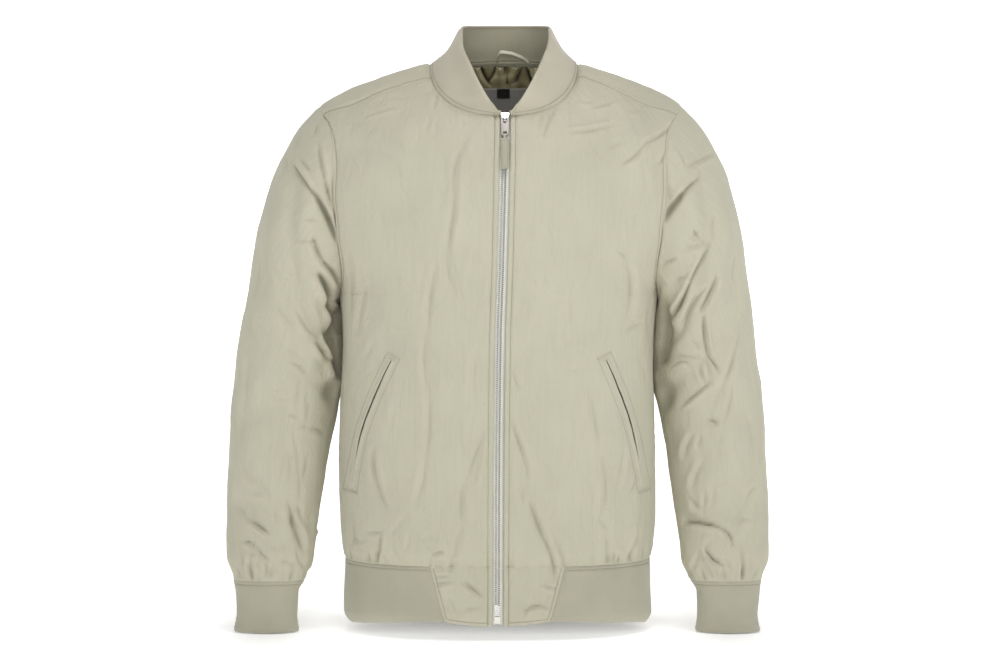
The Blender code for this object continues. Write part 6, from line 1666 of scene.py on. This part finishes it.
def inside_back(x, z, depth):
    """Places a depth inside the back's plain form by x and z."""
    level = np.interp(z, [row[3] for row in BODY_ROWS], [row[0] for row in BODY_ROWS])
    level, turn = found(body, x, z, level, np.pi - turn_at(level, x - NECK_X))
    return body(level, turn) - outward(body, level, turn) * np.asarray(depth)[..., None]


def satin_look(name, light, deep):
    """Acetate satin: lustrous, with painted highlight on its folds and painted shade between them. Its 0.2 mm
    threads are drawn at 0.6 mm.
    """
    made, tree, uv = material(name)
    thread = noise(tree, scaled(tree, uv, (1.0, 0.04, 1.0)), 1600.0)
    fold = add_node(tree, "ShaderNodeAttribute", attribute_name="fold").outputs["Fac"]
    # painted light and shade: the tone follows the folds' heights, lighter on them and darker between them
    tone = maths(tree, "MULTIPLY_ADD", thread, 0.2, ranged(tree, fold, -3.4, 2.2, 0.0, 0.8))
    base = ramp(tree, tone, ((0.2, deep), (0.8, light)))
    values = [("Roughness", 0.3), ("IOR", 1.5), ("Specular IOR Level", 0.6), ("Sheen Weight", 0.1)]
    return finished(made, [("Base Color", base), *bumped(tree, thread, 0.15, 0.1)], values)


def make_lining(look):
    """The lining inside the back, with its puckers under the neck seam."""
    turns = np.pi + np.radians(np.linspace(-LINING_TURN, LINING_TURN, 110))
    level, turn = np.meshgrid(np.linspace(LINING_FOOT, LINING_TOP, 74), turns, indexing="ij")
    plain = body(level, turn)
    fade = np.clip((plain[..., 2] - LINING_CALM) / LINING_BREAK, 0, 1)
    relief = LINING_DEPTH * creased(plain[..., 0] - NECK_X, plain[..., 2], LINING_CREASES)
    relief += rolling(plain, 14.0, 71) * 0.5
    relief += puckered(plain[..., 0], 10 - plain[..., 2], 7.0, 0.6, 9.0, 72)
    points = plain - outward(body, level, turn) * (LINING_DEEP + relief * fade)[..., None]
    grids = [(points, arc_uv(plain, len(turns) // 2), relief)]
    piece = cloth_piece("back_lining_satin", grids, look, "back_lining")
    walled(piece, LINING_THICK)


def make_patch(name, middle, half, top, foot, depth, thick, look, node):
    """A small woven sheet against the inside of the back, its edges pressed over."""
    x, z = np.meshgrid(NECK_X + middle - half * np.linspace(-1, 1, 34), np.linspace(foot, top, 24))
    edge = np.minimum(half - np.abs(x - NECK_X - middle), np.minimum(top - z, z - foot))
    points = inside_back(x, z, depth + 0.25 * trough(edge, 1.2))
    piece = cloth_piece(name, [(points, arc_uv(points), np.zeros(1))], look, node)
    walled(piece, thick)


def make_loop(look):
    """The hanger loop: a flat bar along its path before the collar's inner face."""
    path = columns(LOOP_PATH)
    steps, at = np.arange(float(len(LOOP_PATH))), np.linspace(0, len(LOOP_PATH) - 1, 60)
    x, z, out = (eased(at, steps, column) for column in path)
    x = x + NECK_X
    high = np.maximum(z, 12.0)  # the collar's seam lies below
    share, turn = found(collar, x, high, (high - 10) / 47, np.pi - (x - NECK_X) / 90)
    wall = collar(share, turn) - outward(collar, share, turn) * RIB_THICK
    line = np.stack([x, wall[..., 1] - out - LOOP_OFF, z], -1)
    lean = np.array([0, -LOOP_LEAN, 1.0]) / np.hypot(LOOP_LEAN, 1.0)
    normal = unit(np.cross(np.gradient(line, axis=0), lean))
    turn = np.linspace(0, 2 * np.pi, 20, endpoint=False)
    wide, deep = blunt(np.cos(turn), LOOP_CORNER), blunt(np.sin(turn), LOOP_CORNER)
    rows = line[:, None] + lean * (LOOP_WIDE / 2 * (1 + wide))[None, :, None]
    rows = rows + normal[:, None] * (LOOP_THICK / 2 * deep)[None, :, None]
    mesh = bar_mesh("hanger_loop_strap", rows)
    piece = add_piece("hanger_loop_strap", mesh, look, nodes=("hanger_loop",))


def woven_look(name, light, deep):
    """Damask label cloth, its fine weft drawn at 0.5 mm."""
    made, tree, uv = material(name)
    weft = threads(tree, uv, 0.5, 0.8, bands="Y")
    links = [("Base Color", ramp(tree, weft, ((0.0, deep), (1.0, light)))), *bumped(tree, weft, 0.3, 0.1)]
    return finished(made, links, [("Roughness", 0.55), ("IOR", 1.5)])


make_lining(satin_look("acetate satin, olive", "#BFB890", "#4C472B"))
grey_damask = woven_look("damask label, grey", "#B5B2AF", "#9D9A97")
make_patch("neck_label_woven", 1.5, 38.0, -18.3, -70.0, LABEL_DEEP, 0.8, grey_damask, "neck_label")
black_damask = woven_look("damask tab, black", "#1B1914", "#100E0A")
make_patch("size_tab_woven", -3.5, 8.4, -18.6, -30.4, TAB_DEEP, 0.6, black_damask, "size_tab")
# the loop's twill is a much lighter copy of the sage twill: painted light where it catches the light in the neck
make_loop(twill("cotton twill strap, painted light", "#EAE6D6", "#DEDAC8", "#ECE4D6"))

# ------------------------------------------------------------------------------------------------------------
# Stage: a pale floor that rises into a pale wall, soft light from large panels, and the camera before the jacket.
# ------------------------------------------------------------------------------------------------------------
FLOOR_Z = -0.7045  # in this section sizes are in metres
BEND, BEND_FROM = 1.2, 4.4  # the quarter circle's radius, and the y it begins at
STAGE_HALF, STAGE_DEEP, STAGE_HIGH = 8.0, 6.0, 6.0
GLOWS = ((0.0, "#757575"), (0.5, "#CCCCCC"), (0.8, "#B3B3B3"))  # the paper's glow, from the middles of its painted shadows outward
GLOW_FAR, GLOW_MORE = (0.8, 1.4), 0.37  # how far off more is added to it, and how much
PAINTED_SHADOWS = (  # x and y, and half their width and depth, of the painted shadows under the hem and the cuffs
    (-0.003, 0.06, 0.9, 0.25), (-0.287, -0.03, 0.24, 0.6), (0.281, -0.03, 0.24, 0.6),
)
LIGHTS = (  # place, size and watts
    ("panel left", (-2.4, -2.2, 0.5), 1.4, 8),
    ("panel right", (2.2, -2.4, 0.7), 1.4, 17),
    ("panel top", (0.2, -0.9, 2.2), 1.6, 28),
    ("panel front", (0.1, -3.3, 0.45), 1.2, 13),
)
LIT_PLACE = (0, 0, -0.3)  # where the lights are turned to


def paper_look(name):
    """Matt paper that glows, with a painted shadow where its glow is lower under the jacket and the cuffs, and
    with more glow far off.
    """
    made, tree, place = material(name, on_cloth=False)
    away = None
    for x, y, half_x, half_y in PAINTED_SHADOWS:
        values = [("Scale", (1 / half_x, 1 / half_y, 0.0)), ("Location", (-x / half_x, -y / half_y, 0.0))]
        off = add_node(tree, "ShaderNodeMapping", [("Vector", place)], values).outputs[0]
        off = add_node(tree, "ShaderNodeVectorMath", [(0, off)], operation="LENGTH").outputs["Value"]
        away = maths(tree, "MINIMUM", away, off) if away else off
    # painted shadow: the glow is lower near the footprints of the jacket and the cuffs
    glow_and_painted_shadow = ramp(tree, away, GLOWS)
    far = add_node(tree, "ShaderNodeVectorMath", [(0, place)], operation="LENGTH").outputs["Value"]
    more = ranged(tree, far, *GLOW_FAR, 0.0, GLOW_MORE, interpolation_type="SMOOTHSTEP")
    links = [("Emission Strength", maths(tree, "ADD", glow_and_painted_shadow, more))]
    values = [("Base Color", linear("#F6F6F6")), ("Roughness", 0.95), ("Emission Color", (1, 1, 1, 1))]
    return finished(made, links, values)


def make_stage(look):
    """The floor and the wall as one swept sheet: a line along y, a quarter circle, and a line up."""
    arc = np.linspace(0, np.pi / 2, 24)
    y = np.concatenate([[-STAGE_DEEP], BEND_FROM + BEND * np.sin(arc), [BEND_FROM + BEND]])
    z = np.concatenate([[0.0], BEND - BEND * np.cos(arc), [STAGE_HIGH]]) + FLOOR_Z
    points = [(x, *place) for place in zip(y.tolist(), z.tolist()) for x in (-STAGE_HALF, STAGE_HALF)]
    mesh = bpy.data.meshes.new("stage")
    mesh.from_pydata(points, [], corners(len(y), 2).tolist())
    mesh.shade_smooth()
    mesh.materials.append(look)
    floor = bpy.data.objects.new("stage", mesh)
    bpy.context.scene.collection.objects.link(floor)


def add_light(name, place, size, watts):
    """A square panel of white light at a place, turned to the middle of the jacket."""
    made = bpy.data.lights.new(name, "AREA")
    made.size = size
    made.energy = watts
    lamp = bpy.data.objects.new(name, made)
    lamp.location = place
    way = np.array(LIT_PLACE, float) - np.array(place, float)
    lamp.rotation_euler = (np.arctan2(np.hypot(way[0], way[1]), -way[2]), 0, np.arctan2(way[1], way[0]) - np.pi / 2)
    bpy.context.scene.collection.objects.link(lamp)


make_stage(paper_look("matt paper, white"))
for light in LIGHTS:
    add_light(*light)
world = bpy.data.worlds.new("studio")
world.use_nodes = True
background = world.node_tree.nodes["Background"]
background.inputs["Color"].default_value = (1, 1, 1, 1)
background.inputs["Strength"].default_value = 0.24
bpy.context.scene.world = world

camera = bpy.data.cameras.new("camera")
camera.lens = 74.3
camera.sensor_width = 36.0
camera.clip_end = 50.0
view = bpy.data.objects.new("camera", camera)
view.location = (0.005, -2.6, -0.34)
view.rotation_euler = (np.pi / 2, 0, 0)
bpy.context.scene.collection.objects.link(view)
bpy.context.scene.camera = view
bpy.context.scene.view_settings.view_transform = "Standard"
